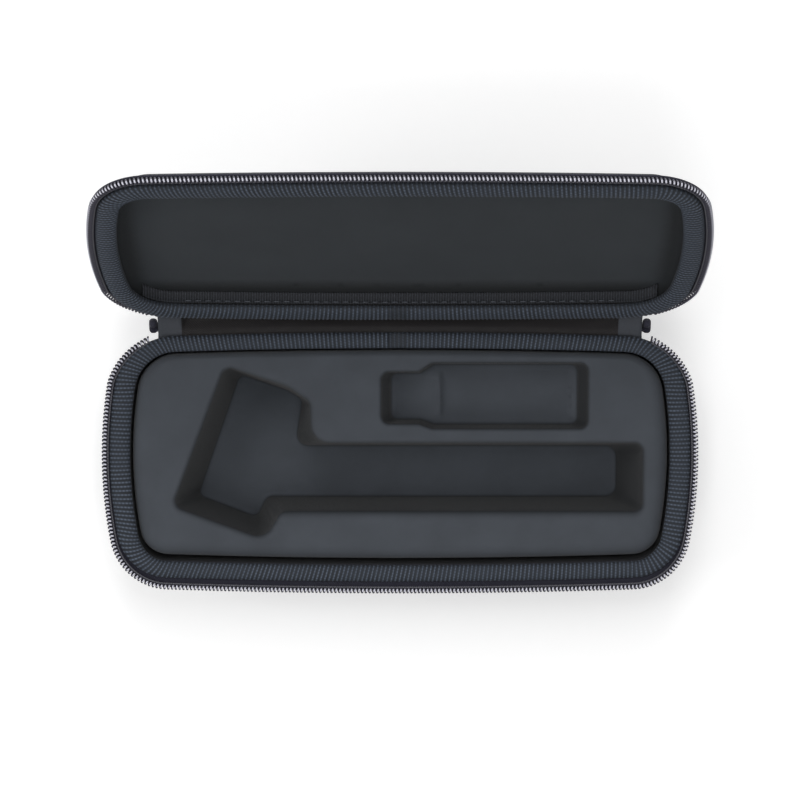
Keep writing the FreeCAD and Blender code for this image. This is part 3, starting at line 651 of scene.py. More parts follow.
def lid_knit(name):
    """Smooth brushed knit inside the lid, with painted shade near its hinge side and its ends."""
    colour = list(bpy.context.scene.case_colours.lid_lining)[:3]
    f = Finish(name)
    cloth, u, v = f.cloth()
    painted_edge_shade = f.tone()
    mottle = f.noise(f.place(), 45.0, 4.0, 0.6)
    fuzz = f.noise(cloth, 2.0, 5.0, 0.7)
    knit = f.maths("MULTIPLY", f.wave(u, 0.42), f.wave(v, 0.36))
    tone = f.mix(f.spread(mottle, 0.35, 0.65), shade(colour, 0.92), shade(colour, 1.06))
    tone = f.mix(f.spread(fuzz, 0.3, 0.75, 0.0, 0.3), tone, shade(colour, 1.25))
    # Painted shade near the hinge side and the ends
    tone = f.mix(painted_edge_shade, tone, shade(colour, 0.25))
    height = f.maths("ADD", f.maths("MULTIPLY", knit, 0.5), fuzz)
    return f.done(tone, f.bump(height, 0.05), f.spread(fuzz, 0.2, 0.8, 0.74, 0.92), 0.08, 0.45, 0.2)


def shell_weave(name):
    """Plain woven cloth on the outside of the moulded shells."""
    colour = list(bpy.context.scene.case_colours.shell)[:3]
    f = Finish(name)
    cloth, u, v = f.cloth()
    over = f.maths("MULTIPLY", f.wave(u, 0.9), f.wave(v, 0.9))
    slub = f.noise(cloth, 0.8, 4.0, 0.6)
    broad = f.noise(f.place(), 40.0, 3.0)
    tone = f.mix(f.spread(over, -1.0, 1.0), shade(colour, 0.75), shade(colour, 1.25))
    tone = f.mix(f.spread(broad, 0.3, 0.7, 0.0, 0.4), tone, shade(colour, 1.15))
    height = f.maths("ADD", f.spread(over, -1.0, 1.0), f.maths("MULTIPLY", slub, 0.4))
    return f.done(tone, f.bump(height, 0.12), f.spread(slub, 0.3, 0.7, 0.55, 0.75), 0.05, 0.4, 0.35)


def inner_weave(name):
    """Thin dark cloth inside the base."""
    colour = list(bpy.context.scene.case_colours.inner)[:3]
    f = Finish(name)
    cloth, u, v = f.cloth()
    over = f.maths("MULTIPLY", f.wave(u, 0.6), f.wave(v, 0.6))
    tone = f.mix(f.spread(over, -1.0, 1.0), shade(colour, 0.8), shade(colour, 1.2))
    return f.done(tone, f.bump(f.spread(over, -1.0, 1.0), 0.06), f.spread(over, -1.0, 1.0, 0.8, 0.9), 0.05)


def ribbed_binding(name):
    """Woven binding tape: a rib at every pick with a painted highlight on its crest and painted shade between, broken
    into dashes by the warp, and painted shade down the sides of its dome.
    """
    colour = list(bpy.context.scene.case_colours.binding)[:3]
    pitch = bpy.context.scene.case_tapes.rib_pitch / MM
    f = Finish(name)
    cloth, u, v = f.cloth()
    crown = f.tone()
    fuzz = f.noise(cloth, 1.5, 5.0, 0.7)
    broad = f.noise(cloth, 0.1, 3.0)
    rib = f.maths("ADD", f.spread(f.wave(u, pitch), -1.0, 1.0), f.maths("MULTIPLY", fuzz, 0.35))
    dash = f.maths("MULTIPLY", f.wave(u, 2.0 * pitch, math.pi / 4.0), f.wave(v, 1.15))
    dash = f.spread(dash, -0.9, 0.5)
    # Painted highlight on each rib's crest and painted shade in the valleys, broken into dashes by the warp
    light = f.maths("MULTIPLY", f.spread(rib, 0.55, 1.1), f.spread(dash, 0.0, 1.0, 0.4, 1.0))
    tone = f.mix(light, shade(colour, 0.22), shade(colour, 1.9))
    tone = f.mix(f.spread(broad, 0.35, 0.65, 0.0, 0.35), tone, shade(colour, 0.6))
    # Painted shade down the sides of the dome and over the flat splice, where the crown share is low
    tone = f.mix(f.spread(crown, 0.15, 0.85, 0.7, 0.0), tone, shade(colour, 0.25))
    height = f.maths("ADD", f.maths("MULTIPLY", light, 0.8), f.maths("MULTIPLY", fuzz, 0.4))
    return f.done(tone, f.bump(height, 0.2), f.spread(fuzz, 0.2, 0.8, 0.6, 0.8), 0.05, 0.4, 0.3)


def fine_tape(name):
    """Fine woven zip tape."""
    colour = list(bpy.context.scene.case_colours.zip_tape)[:3]
    f = Finish(name)
    cloth, u, v = f.cloth()
    diagonal = f.maths("ADD", u, v)
    twill = f.spread(f.wave(diagonal, 0.8), -1.0, 1.0)
    fuzz = f.noise(cloth, 1.6, 4.0, 0.6)
    tone = f.mix(twill, shade(colour, 0.7), shade(colour, 1.4))
    tone = f.mix(f.spread(fuzz, 0.3, 0.7, 0.0, 0.5), tone, shade(colour, 1.2))
    return f.done(tone, f.bump(twill, 0.08), f.spread(fuzz, 0.2, 0.8, 0.65, 0.8), 0.05, 0.4, 0.3)


def coil_turns(name, bright):
    """Nylon coil with a painted highlight on the crown of each turn and a weaker painted highlight on its teeth on the
    outer side.
    """
    colours = bpy.context.scene.case_colours
    colour = list(colours.coil)[:3]
    light = list(colours.coil_dots)[:3]
    f = Finish(name)
    cloth, u, v = f.cloth()
    outer = f.spread(f.wave(u, 6.0, math.pi / 2.0), 0.2, 0.8)
    crown = f.spread(f.wave(v, 1.0, math.pi / 2.0 - bright * 2.0 * math.pi), 0.84, 0.94)
    tooth = f.spread(f.wave(v, 1.0, math.pi / 2.0), 0.8, 0.95, 0.0, 0.35)
    fuzz = f.noise(cloth, 3.0, 3.0, 0.6)
    tone = f.mix(f.spread(fuzz, 0.3, 0.7), shade(colour, 0.8), shade(colour, 1.25))
    # Weaker painted highlight on the teeth, then the painted highlight on each turn's crown
    tone = f.mix(f.maths("MULTIPLY", outer, tooth), tone, shade(light, 0.5))
    tone = f.mix(f.maths("MULTIPLY", outer, crown), tone, light)
    return f.done(tone, f.bump(fuzz, 0.03), f.spread(fuzz, 0.2, 0.8, 0.4, 0.55), 0.0, 0.4, 0.4)


def coil_nylon(name):
    """Coil with a painted highlight on the top of each turn, where it faces up."""
    return coil_turns(name, 0.25)


def lid_coil_nylon(name):
    """Coil with its painted highlight moved round each turn towards its outside."""
    return coil_turns(name, 0.1)


def coil_thread(name):
    """Thread that sews the coil to its tape."""
    colour = list(bpy.context.scene.case_colours.coil_dots)[:3]
    f = Finish(name)
    cloth, u, v = f.cloth()
    twist = f.spread(f.wave(f.maths("ADD", u, v), 0.62), -1.0, 1.0)
    tone = f.mix(twist, shade(colour, 0.04), shade(colour, 0.25))
    return f.done(tone, f.bump(twist, 0.05), f.spread(twist, 0.0, 1.0, 0.6, 0.8), 0.0, 0.4, 0.3)


def hinge_ribs(name):
    """Ribbed tape along the hinge side of the lid, its ribs across it."""
    colour = list(bpy.context.scene.case_colours.hinge_tape)[:3]
    f = Finish(name)
    cloth, u, v = f.cloth()
    fuzz = f.noise(cloth, 1.6, 4.0, 0.6)
    rib = f.maths("ADD", f.spread(f.wave(u, 0.84), -1.0, 1.0), f.maths("MULTIPLY", fuzz, 0.5))
    rib = f.spread(rib, 0.5, 1.2)
    mark = f.maths("MULTIPLY", f.spread(f.wave(u, 2.52), 0.2, 0.9), f.spread(f.wave(v, 1.7), -0.2, 0.8))
    tone = f.mix(rib, shade(colour, 0.45), shade(colour, 1.35))
    tone = f.mix(f.maths("MULTIPLY", f.maths("MULTIPLY", mark, rib), 0.6), tone, shade(colour, 3.0))
    return f.done(tone, f.bump(rib, 0.15), f.spread(fuzz, 0.2, 0.8, 0.65, 0.8), 0.04, 0.4, 0.25)


def spine_weave(name):
    """Plain woven cloth of the hinge."""
    colour = list(bpy.context.scene.case_colours.spine)[:3]
    f = Finish(name)
    cloth, u, v = f.cloth()
    over = f.maths("MULTIPLY", f.wave(u, 0.8), f.wave(v, 0.8))
    crease = f.noise(cloth, 0.25, 4.0, 0.6)
    tone = f.mix(f.spread(over, -1.0, 1.0), shade(colour, 0.7), shade(colour, 1.3))
    tone = f.mix(f.spread(crease, 0.4, 0.7, 0.0, 0.4), tone, shade(colour, 1.5))
    height = f.maths("ADD", f.spread(over, -1.0, 1.0), f.maths("MULTIPLY", crease, 1.5))
    return f.done(tone, f.bump(height, 0.1), f.spread(crease, 0.2, 0.8, 0.65, 0.8), 0.05, 0.4, 0.3)


def tab_cloth(name):
    """Smooth calendered cloth of the tabs at the ends of the hinge."""
    colour = list(bpy.context.scene.case_colours.tab)[:3]
    f = Finish(name)
    cloth, u, v = f.cloth()
    fuzz = f.noise(cloth, 1.2, 4.0, 0.6)
    over = f.maths("MULTIPLY", f.wave(u, 0.5), f.wave(v, 0.5))
    tone = f.mix(f.spread(fuzz, 0.3, 0.7), shade(colour, 0.85), shade(colour, 1.15))
    return f.done(tone, f.bump(f.spread(over, -1.0, 1.0), 0.03), f.spread(fuzz, 0.2, 0.8, 0.6, 0.75), 0.05, 0.4, 0.3)


def sewing_thread(name):
    """Twisted sewing thread."""
    colour = list(bpy.context.scene.case_colours.thread)[:3]
    f = Finish(name)
    cloth, u, v = f.cloth()
    twist = f.spread(f.wave(f.maths("ADD", u, f.maths("MULTIPLY", v, 1.5)), 0.5), -1.0, 1.0)
    tone = f.mix(twist, shade(colour, 0.6), shade(colour, 1.15))
    return f.done(tone, f.bump(twist, 0.05), f.spread(twist, 0.0, 1.0, 0.5, 0.65), 0.0, 0.4, 0.4)


def dark_enamel(name):
    """Dark enamelled metal with fine wear."""
    colour = list(bpy.context.scene.case_colours.metal)[:3]
    f = Finish(name)
    place = f.place()
    grain = f.noise(place, 900.0, 4.0, 0.6)
    scratch = f.noise(place, 260.0, 6.0, 0.75)
    tone = f.mix(f.spread(scratch, 0.55, 0.75), colour, shade(colour, 2.2))
    f.shader.inputs["Metallic"].default_value = 0.6
    f.shader.inputs["Coat Weight"].default_value = 0.3
    return f.done(tone, f.bump(grain, 0.02), f.spread(scratch, 0.3, 0.7, 0.28, 0.5), 0.0, 0.5, 0.5)


def pale_floor(name):
    """Pale studio floor, white to the camera and still taking the shadow."""
    f = Finish(name)
    grain = f.noise(f.place(), 300.0, 2.0)
    tone = f.mix(grain, srgb(246, 246, 246), srgb(250, 250, 250))
    f.done(tone, f.bump(grain, 0.01), f.spread(grain, 0.0, 1.0, 0.8, 0.9), 0.0, 0.5, 0.1)
    seen = f.node("ShaderNodeLightPath").outputs["Is Camera Ray"]
    f.put(f.shader.inputs["Emission Color"], (1.0, 1.0, 1.0, 1.0))
    f.put(f.shader.inputs["Emission Strength"], f.maths("MULTIPLY", seen, 0.3))
    return f.material


# Pieces


def rim_rows(skin, profile, steps, arcs_at=rim):
    """Adds one row of places for each inset and height of a profile."""
    rows = []
    for inset, z in profile:
        rows.append(skin.add([(x, y, z) for x, y, _ in round_points(arcs_at(inset), steps)]))
    return rows


def eased(value, low, high):
    """Runs smoothly from 0 at one value to 1 at another."""
    share = min(1.0, max(0.0, (value - low) / (high - low)))
    return share * share * (3.0 - 2.0 * share)


def rearwards(angle):
    """How much an edge faces the hinge side, from 0 to 1."""
    return max(0.0, math.sin(angle)) ** 2


def soft_waves(x, y, size, height):
    """Slow unevenness of a soft moulded face."""
    return height * noise.noise(Vector((x / size, y / size, 0.0)))


def moulded_shell(name, depth, run, drop, sink, place):
    """Cloth-covered half shell with its inner face, mouth up; sink draws its dome in."""
    steps = steps_round(rim(SHELL_INSET), 3.0, 1.6)
    profile = dish_profile(SHELL_INSET, SHELL_TOP, depth, run, drop, 12)
    reach = [eased(SHELL_TOP - z, 0.0, 3.0) for _, z in profile]
    skin = Skin()
    outer = rim_rows(skin, lifted_profile(profile, [sink * share for share in reach]), steps)
    walls = SHELL_WALL - (SHELL_WALL - LID_CLOTH_WALL) * (sink / LID_SINK)
    inner_offsets = [sink * share + SHELL_WALL + (walls - SHELL_WALL) * share for share in reach]
    inner = rim_rows(skin, lifted_profile(profile, inner_offsets), steps)
    along = lengths_along(round_points(rim(SHELL_INSET), steps))
    skin.loft(outer[::-1] + inner, along)
    foot = SHELL_TOP - depth + sink

    def outer_height(x, y):
        return foot + 0.12 * abs(noise.noise(Vector((x / 14.0, y / 14.0, foot))))

    skin.fill(outer[-1], [], 4.0, outer_height)
    inner_foot = skin.places[inner[-1][0]][2]
    skin.fill(inner[-1], [], 8.0, lambda x, y: inner_foot)
    return skin.piece(name, place)


def base_lining_piece():
    """Thin cloth pressed against the inside of the base shell."""
    steps = steps_round(rim(SEAM_INSET), 5.0, 2.4)
    inset = SHELL_INSET + SHELL_WALL
    depth = SHELL_TOP - SHELL_WALL
    edge = BASE_EDGE_ROUND - SHELL_WALL
    skin = Skin()
    back = rim_rows(skin, dish_profile(inset, SHELL_TOP, depth, edge, edge, 4), steps)
    lining = LINING_WALL
    face_profile = dish_profile(
        SEAM_INSET, SHELL_TOP, depth - lining, edge - lining, edge - lining, 4
    )
    face = rim_rows(skin, face_profile, steps)
    skin.loft(back[::-1] + face, lengths_along(round_points(rim(SEAM_INSET), steps)))
    skin.fill(back[-1], [], 8.0, lambda x, y: SHELL_TOP - depth)
    skin.fill(face[-1], [], 8.0, lambda x, y: SHELL_TOP - depth + lining)
    return skin.piece("base_lining_cloth")


def pressed_edge(x, y):
    """How far the lid's lining dips near its hinge side and its ends, from 0 to 1; the same share sets its painted
    shade there.
    """
    hinge = 1.0 - eased(REAR - y, 9.0, 16.0)
    ends = 0.8 * (1.0 - eased(RIGHT - abs(x), 9.0, 15.0))
    return min(1.0, hinge + ends)


def lid_lining_piece():
    """Smooth shallow dish on its soft filling, mouth up before it is opened."""
    steps = steps_round(rim(SEAM_INSET), 3.0, 1.4)
    inset = SHELL_INSET + SHELL_WALL
    wall = SHELL_WALL
    back_profile = dish_profile(
        inset, SHELL_TOP, LID_DEPTH - wall, LID_DOME_RUN - wall, LID_DOME_DROP - wall, 6
    )
    sink = LID_SINK + LID_CLOTH_WALL - wall + 0.3
    back_profile = lifted_profile(
        back_profile, [sink * eased(SHELL_TOP - z, 0.0, 3.0) for _, z in back_profile]
    )
    lining = LINING_WALL
    depth = LID_CAVITY - lining
    face_profile = dish_profile(
        SEAM_INSET, SHELL_TOP, depth, LID_CAVITY_RUN - lining, LID_CAVITY_ROUND - lining, 10, 3
    )
    skin = Skin()
    back = rim_rows(skin, back_profile, steps)
    face = rim_rows(skin, face_profile, steps)
    # The tone coordinates carry the painted shade near the hinge side and the ends
    for row in face:
        for k in row:
            skin.tones[k] = pressed_edge(*skin.places[k][:2])
    skin.loft(back[::-1] + face, lengths_along(round_points(rim(SEAM_INSET), steps)))
    foot = skin.places[back[-1][0]][2]
    skin.fill(back[-1], [], 8.0, lambda x, y: foot)
    panel = SHELL_TOP - depth
    # The panel dips near its hinge side and its ends, and gets painted shade there
    skin.fill(
        face[-1],
        [],
        2.4,
        lambda x, y: panel + soft_waves(x, y, 22.0, 0.16) - 0.5 * pressed_edge(x, y),
        pressed_edge,
    )
    return skin.piece("lid_lining_pad", opened_matrix())


def binding_edges(angle, body):
    """Where the binding starts and ends across the rim, for the way that its side faces."""
    rear = rearwards(angle)
    front = rearwards(-angle)
    if body == "lid":
        return BINDING_START - 0.9 * rear + 0.9 * front, BINDING_END - 0.6 * rear + 0.5 * front
    return BINDING_START + 1.5 * rear, BINDING_END - 1.35 * front


def rib_lean(x, y):
    """Length along the binding by which a rib leans for each length across it."""
    front = eased(-y, 5.0, 35.0)
    rear = eased(y, 5.0, 35.0)
    return front * (0.23 * x / RIGHT - 0.22) - rear * 0.3 * x / RIGHT


def spliced(x, y):
    """1 over the flat splice in the middle of the hinge side, and 0 away from it."""
    return 0.0 if y < 0.0 else 1.0 - eased(abs(x + 0.6), 2.6, 3.6)


def binding_piece(name, body, place=None):
    """Domed binding with its ribs raised across it."""
    sizes = bpy.context.scene.case_tapes
    pitch = sizes.rib_pitch / MM
    height = sizes.rib_height / MM
    middle = rim((BINDING_START + BINDING_END) / 2.0)
    steps = steps_round(middle, pitch / 4.0, pitch / 4.0)
    along = lengths_along(round_points(middle, steps))
    ribs = round(along[-1] / pitch)
    along = [length * ribs * pitch / along[-1] for length in along]
    line = round_points(rim(0.0), steps)
    dome = CREST - TAPE_TOP - BINDING_SIDE
    section = [(0.0, 0.0), (0.0, 0.0)] + [(math.pi * k / 14, 1.0) for k in range(15)] + [(math.pi, 0.0)] * 2
    skin = Skin()
    rows = []
    shifts = []
    for n, (turn, raised) in enumerate(section):
        share = math.sin(turn) ** 0.5 * raised if 0.0 < turn < math.pi else 0.0
        row = []
        shift = []
        for k, (x, y, angle) in enumerate(line):
            start, end = binding_edges(angle, body)
            across = (end - start) / 2.0 * (1.0 - math.cos(turn))
            lean = rib_lean(x, y) * (across - (end - start) / 2.0)
            splice = spliced(x, y) if body == "base" else 0.0
            phase = 2.0 * math.pi * (along[k] + lean) / pitch
            lift = share * height * (0.5 + 0.5 * math.sin(phase)) ** 1.4 * (1.0 - splice)
            lift += share * 0.12 * noise.noise(Vector((along[k] / 9.0, across / 4.0, 2.0)))
            rise = dome * math.sin(turn) ** 0.85 * (1.0 - 0.35 * splice) - share * height + lift
            z = TAPE_TOP + (BINDING_SIDE + rise if raised else (0.0 if n in (0, len(section) - 1) else 0.3))
            inset = start + across + lift * math.cos(turn) * -0.6
            inset = min(max(inset, start), end)
            row.append((x - inset * math.cos(angle), y - inset * math.sin(angle), z))
            shift.append(lean)
        indices = skin.add(row)
        # Tone: the dome's crown share, left unshaded; painted shade grows down its sides and over the flat splice
        skin.tones.update((k, share * (1.0 - 0.8 * spliced(*skin.places[k][:2]))) for k in indices)
        rows.append(indices)
        shifts.append(shift)
    skin.loft(rows, along, round_section=True, shifts=shifts)
    return skin.piece(name, place)


def tucked(x, y):
    """How far the zip is tucked under the binding near the hinge corners, from 0 to 1."""
    return min(1.0, max(0.0, (y - 24.0) / 14.0))


def open_run(points):
    """The stretch of a closed outline that the zip takes, from one hinge corner round to the other."""
    return [place for place in points if not (place[1] > 0.0 and abs(place[0]) < ZIP_END)]


def coil_points(inset, steps):
    """Points round the coil's line, eased out at the front."""
    points = []
    for x, y, angle in round_points(coil_line(inset), steps):
        out = COIL_FRONT_EASE * rearwards(-angle)
        points.append((x + out * math.cos(angle), y + out * math.sin(angle), angle))
    return points


def zip_tape_piece(name, place=None):
    """Zip tape from the seam under the binding out to the coil."""
    half = TAPE_WALL / 2.0
    foot = COIL_Z - COIL_RADIUS
    steps = steps_round(coil_line(0.0), 2.2, 1.2)
    section = (
        (None, SEAM_INSET, SHELL_TOP),
        (coil_points, 0.0, SHELL_TOP),
        (coil_points, -half, SHELL_TOP + 0.25),
        (coil_points, -half, foot),
        (coil_points, half, foot),
        (coil_points, half + 0.4, TAPE_TOP),
        (None, SEAM_INSET, TAPE_TOP),
    )
    skin = Skin()
    rows = []
    for points_at, inset, z in section:
        points = points_at(inset, steps) if points_at else round_points(rim(inset), steps)
        row = []
        for x, y, angle in open_run(points):
            draw = 1.5 * tucked(x, y) if points_at else 0.0
            row.append((x - draw * math.cos(angle), y - draw * math.sin(angle), z))
        rows.append(row)
    count = min(len(row) for row in rows)
    rows = [skin.add(trimmed(row, count)) for row in rows]
    along = lengths_along([skin.places[k] for k in rows[3]])
    skin.loft(rows, along, closed=False, round_section=True)
    skin.cap([row[0] for row in rows])
    skin.cap([row[-1] for row in rows])
    return skin.piece(name, place)


def trimmed(row, count):
    """A row with its spare places dropped evenly from both ends."""
    spare = len(row) - count
    return row[spare // 2 : len(row) - (spare - spare // 2)]


def coil_piece(name, place=None):
    """Nylon coil, one loop of wire for each turn, along the edge of the tape."""
    sizes = bpy.context.scene.case_tapes
    pitch = sizes.coil_pitch / MM
    wire = sizes.coil_wire / MM / 2.0
    line = open_run(coil_points(0.0, steps_round(coil_line(0.0), 1.0, 0.7)))
    centre = []
    for x, y, angle in line:
        draw = 1.7 * tucked(x, y)
        centre.append((x - draw * math.cos(angle), y - draw * math.sin(angle), COIL_Z, angle))
    along = [0.0]
    for a, b in zip(centre, centre[1:]):
        along.append(along[-1] + math.hypot(b[0] - a[0], b[1] - a[1]))
    turns = int(along[-1] / pitch)
    per_turn = 14
    sides = 6
    reach = COIL_RADIUS - wire
    columns = np.array(centre)
    skin = Skin()
    rings = []
    count = turns * per_turn
    for k in range(count + 1):
        length = along[-1] * k / count
        x, y, z, angle = (np.interp(length, along, columns[:, axis]) for axis in range(4))
        turn = 2.0 * math.pi * k / per_turn
        out = Vector((math.cos(angle), math.sin(angle), 0.0))
        up = Vector((0.0, 0.0, 1.0))
        run = out.cross(up)
        radial = out * math.cos(turn) + up * math.sin(turn)
        middle = Vector((x, y, z)) + radial * reach
        tangent = (up * math.cos(turn) - out * math.sin(turn)) * reach * 2.0 * math.pi - run * pitch
        tangent.normalize()
        side = tangent.cross(radial).normalized()
        places = []
        for n in range(sides):
            round_wire = 2.0 * math.pi * n / sides
            places.append(middle + (radial * math.cos(round_wire) + side * math.sin(round_wire)) * wire)
        rings.append(skin.add(places))
    for k, (a, b) in enumerate(zip(rings, rings[1:])):
        phase = (k % per_turn) / per_turn
        for n in range(sides):
            m = (n + 1) % sides
            low, high = phase, phase + 1.0 / per_turn
            skin.face([a[n], a[m], b[m], b[n]], [(n, low), (n + 1, low), (n + 1, high), (n, high)])
    skin.cap(rings[0])
    skin.cap(rings[-1])
    skin.slot = 1
    rings = []
    for x, y, z, angle in centre[::2]:
        inner = COIL_RADIUS - 0.15
        x -= inner * math.cos(angle)
        y -= inner * math.sin(angle)
        ring = []
        for n in range(sides):
            turn = 2.0 * math.pi * n / sides
            out = 0.26 * math.cos(turn)
            ring.append((x + out * math.cos(angle), y + out * math.sin(angle), z + 0.35 + 0.26 * math.sin(turn)))
        rings.append(ring)
    loft_sections(skin, rings, [2.0 * length for length in range(len(rings))])
    return skin.piece(name, place)


def corner_places(corners, grows):
    """Corners of a recess with each run moved outwards: first place, centre, radius and turn."""
    runs = []
    for k, (x, y, _) in enumerate(corners):
        ahead = corners[(k + 1) % len(corners)]
        run = Vector((ahead[0] - x, ahead[1] - y)).normalized()
        runs.append((Vector((x, y)) + Vector((run.y, -run.x)) * grows[k], run))
    places = []
    for k, (origin, after) in enumerate(runs):
        start, before = runs[k - 1]
        cross = before.x * after.y - before.y * after.x
        gap = origin - start
        apex = start + before * ((gap.x * after.y - gap.y * after.x) / cross)
        side = 1.0 if cross > 0.0 else -1.0
        radius = max(corners[k][2] + (grows[k - 1] + grows[k]) / 2.0 * side, 0.05)
        turn = math.atan2(cross, before.dot(after))
        first = apex - before * abs(radius * math.tan(turn / 2.0))
        centre = first + Vector((-before.y, before.x)) * radius * side
        places.append((first, centre, radius, turn))
    return places


def run_steps(corners, run_step=1.4):
    """How many steps each straight run of a recess outline gets."""
    steps = []
    for k, (x, y, _) in enumerate(corners):
        ahead = corners[(k + 1) % len(corners)]
        steps.append(max(1, round(math.hypot(ahead[0] - x, ahead[1] - y) / run_step)))
    return steps


def recess_ring(corners, grow, runs, widths=None, corner_steps=8):
    """Places round a recess outline, the same number at every grow."""
    shape = corner_places(corners, [grow * width for width in widths or [1.0] * len(corners)])
    points = []
    for k, (first, centre, radius, turn) in enumerate(shape):
        start = math.atan2(first.y - centre.y, first.x - centre.x)
        for n in range(corner_steps + 1):
            angle = start + turn * n / corner_steps
            points.append((centre.x + radius * math.cos(angle), centre.y + radius * math.sin(angle)))
        last = Vector(points[-1])
        following = shape[(k + 1) % len(shape)][0]
        points += [tuple(last.lerp(following, n / runs[k])) for n in range(1, runs[k])]
    return points


def bottle_corners(drawn_in):
    """Corners of the bottle recess, with every wall moved inwards by the draft."""
    dx = BOTTLE_DRAFT_X * drawn_in
    dy = BOTTLE_DRAFT_Y * drawn_in
    left = NECK_END + dx
    right = BOTTLE_END - dx
    shoulder = BOTTLE_SHOULDER + dy
    neck = shoulder - SHOULDER_RUN
    return (
        (left, NECK_BACK - dy, BOTTLE_CORNER),
        (left, NECK_FRONT + dy, BOTTLE_CORNER),
        (neck, NECK_FRONT + dy, BOTTLE_CORNER),
        (shoulder, BOTTLE_FRONT + dy, BOTTLE_CORNER),
        (right, BOTTLE_FRONT + dy, BOTTLE_CORNER),
        (right, BOTTLE_BACK - dy, BOTTLE_CORNER),
        (shoulder, BOTTLE_BACK - dy, BOTTLE_CORNER),
        (neck, NECK_BACK - dy, BOTTLE_CORNER),
    )


def sunk(value, low, high, soft):
    """1 well between two limits and 0 at them."""
    share = min(value - low, high - value) / soft
    share = min(1.0, max(0.0, share))
    return share * share * (3.0 - 2.0 * share)


def bed_depth(x, y, x0, x1, y0, y1, depth):
    """How far a lying round bed sinks at one place."""
    half = (y1 - y0) / 2.0
    radius = (half**2 + depth**2) / (2.0 * depth)
    off = abs(y - (y0 + y1) / 2.0)
    if off >= half or not x0 < x < x1:
        return 0.0
    dip = math.sqrt(radius**2 - off**2) - (radius - depth)
    return dip * sunk(x, x0, x1, 0.8)


def bottle_height(x, y):
    """Height of the bottle recess's floor with its two round beds."""
    in_x = BOTTLE_DRAFT_X + FLOOR_RADIUS
    in_y = BOTTLE_DRAFT_Y + FLOOR_RADIUS
    shoulder = BOTTLE_SHOULDER + in_y
    body = bed_depth(
        x, y, shoulder, BOTTLE_END - in_x, BOTTLE_FRONT + in_y, BOTTLE_BACK - in_y, BOTTLE_BED_DEPTH
    )
    neck = bed_depth(x, y, NECK_END + in_x, shoulder, NECK_FRONT + in_y, NECK_BACK - in_y, NECK_BED_DEPTH)
    return BOTTLE_FLOOR - max(body, neck)


def land_height(x, y):
    """Height of the tray's soft top face."""
    return TRAY_TOP - 0.1 + soft_waves(x, y, 13.0, 0.1) + creased(x, y)


def creased(x, y):
    """Small folds where the cloth bunches at the recess's inner corner."""
    dx = x - CREASE_PLACE[0]
    dy = y - CREASE_PLACE[1]
    near = math.exp(-(dx**2 + dy**2) / CREASE_REACH**2)
    return CREASE_DEPTH * near * math.sin(2.0 * math.pi * (dx * 0.8 + dy * 0.6) / CREASE_PITCH)


def recess_rows(skin, lip, floor, floor_z, lip_radius, widths):
    """Rows from the tray's top face over the lip, down the wall and round its foot."""
    runs = run_steps(lip)
    rows = []
    # The second value of each row is its painted shade: none on the top face, growing over the lip, full down the wall
    # and fading out round the foot
    for sine, cosine in quarter_turns(6)[::-1]:
        z = TRAY_TOP - 0.1 - (lip_radius - 0.1) * (1.0 - sine)
        ring = recess_ring(lip, lip_radius * (1.0 - cosine), runs, widths)
        rows.append(skin.add([(x, y, z + creased(x, y)) for x, y in ring], cosine**3))
    top = recess_ring(lip, 0.0, runs)
    foot = recess_ring(floor, 0.0, runs)
    wall_steps = 5
    for k in range(1, wall_steps):
        share = k / wall_steps
        z = (TRAY_TOP - lip_radius) * (1.0 - share) + (floor_z + FLOOR_RADIUS) * share
        row = []
        for (ax, ay), (bx, by) in zip(top, foot):
            x = ax + (bx - ax) * share
            y = ay + (by - ay) * share
            fold = creased(x, y) * (1.0 - share)
            row.append((x + fold * 0.8, y + fold * 0.6, z))
        rows.append(skin.add(row, 1.0))
    for sine, cosine in quarter_turns(5):
        z = floor_z + FLOOR_RADIUS * (1.0 - sine)
        ring = recess_ring(floor, FLOOR_RADIUS * (cosine - 1.0), runs)
        rows.append(skin.add([(x, y, z) for x, y in ring], 1.0 - eased(sine, 0.3, 0.8)))
    return rows


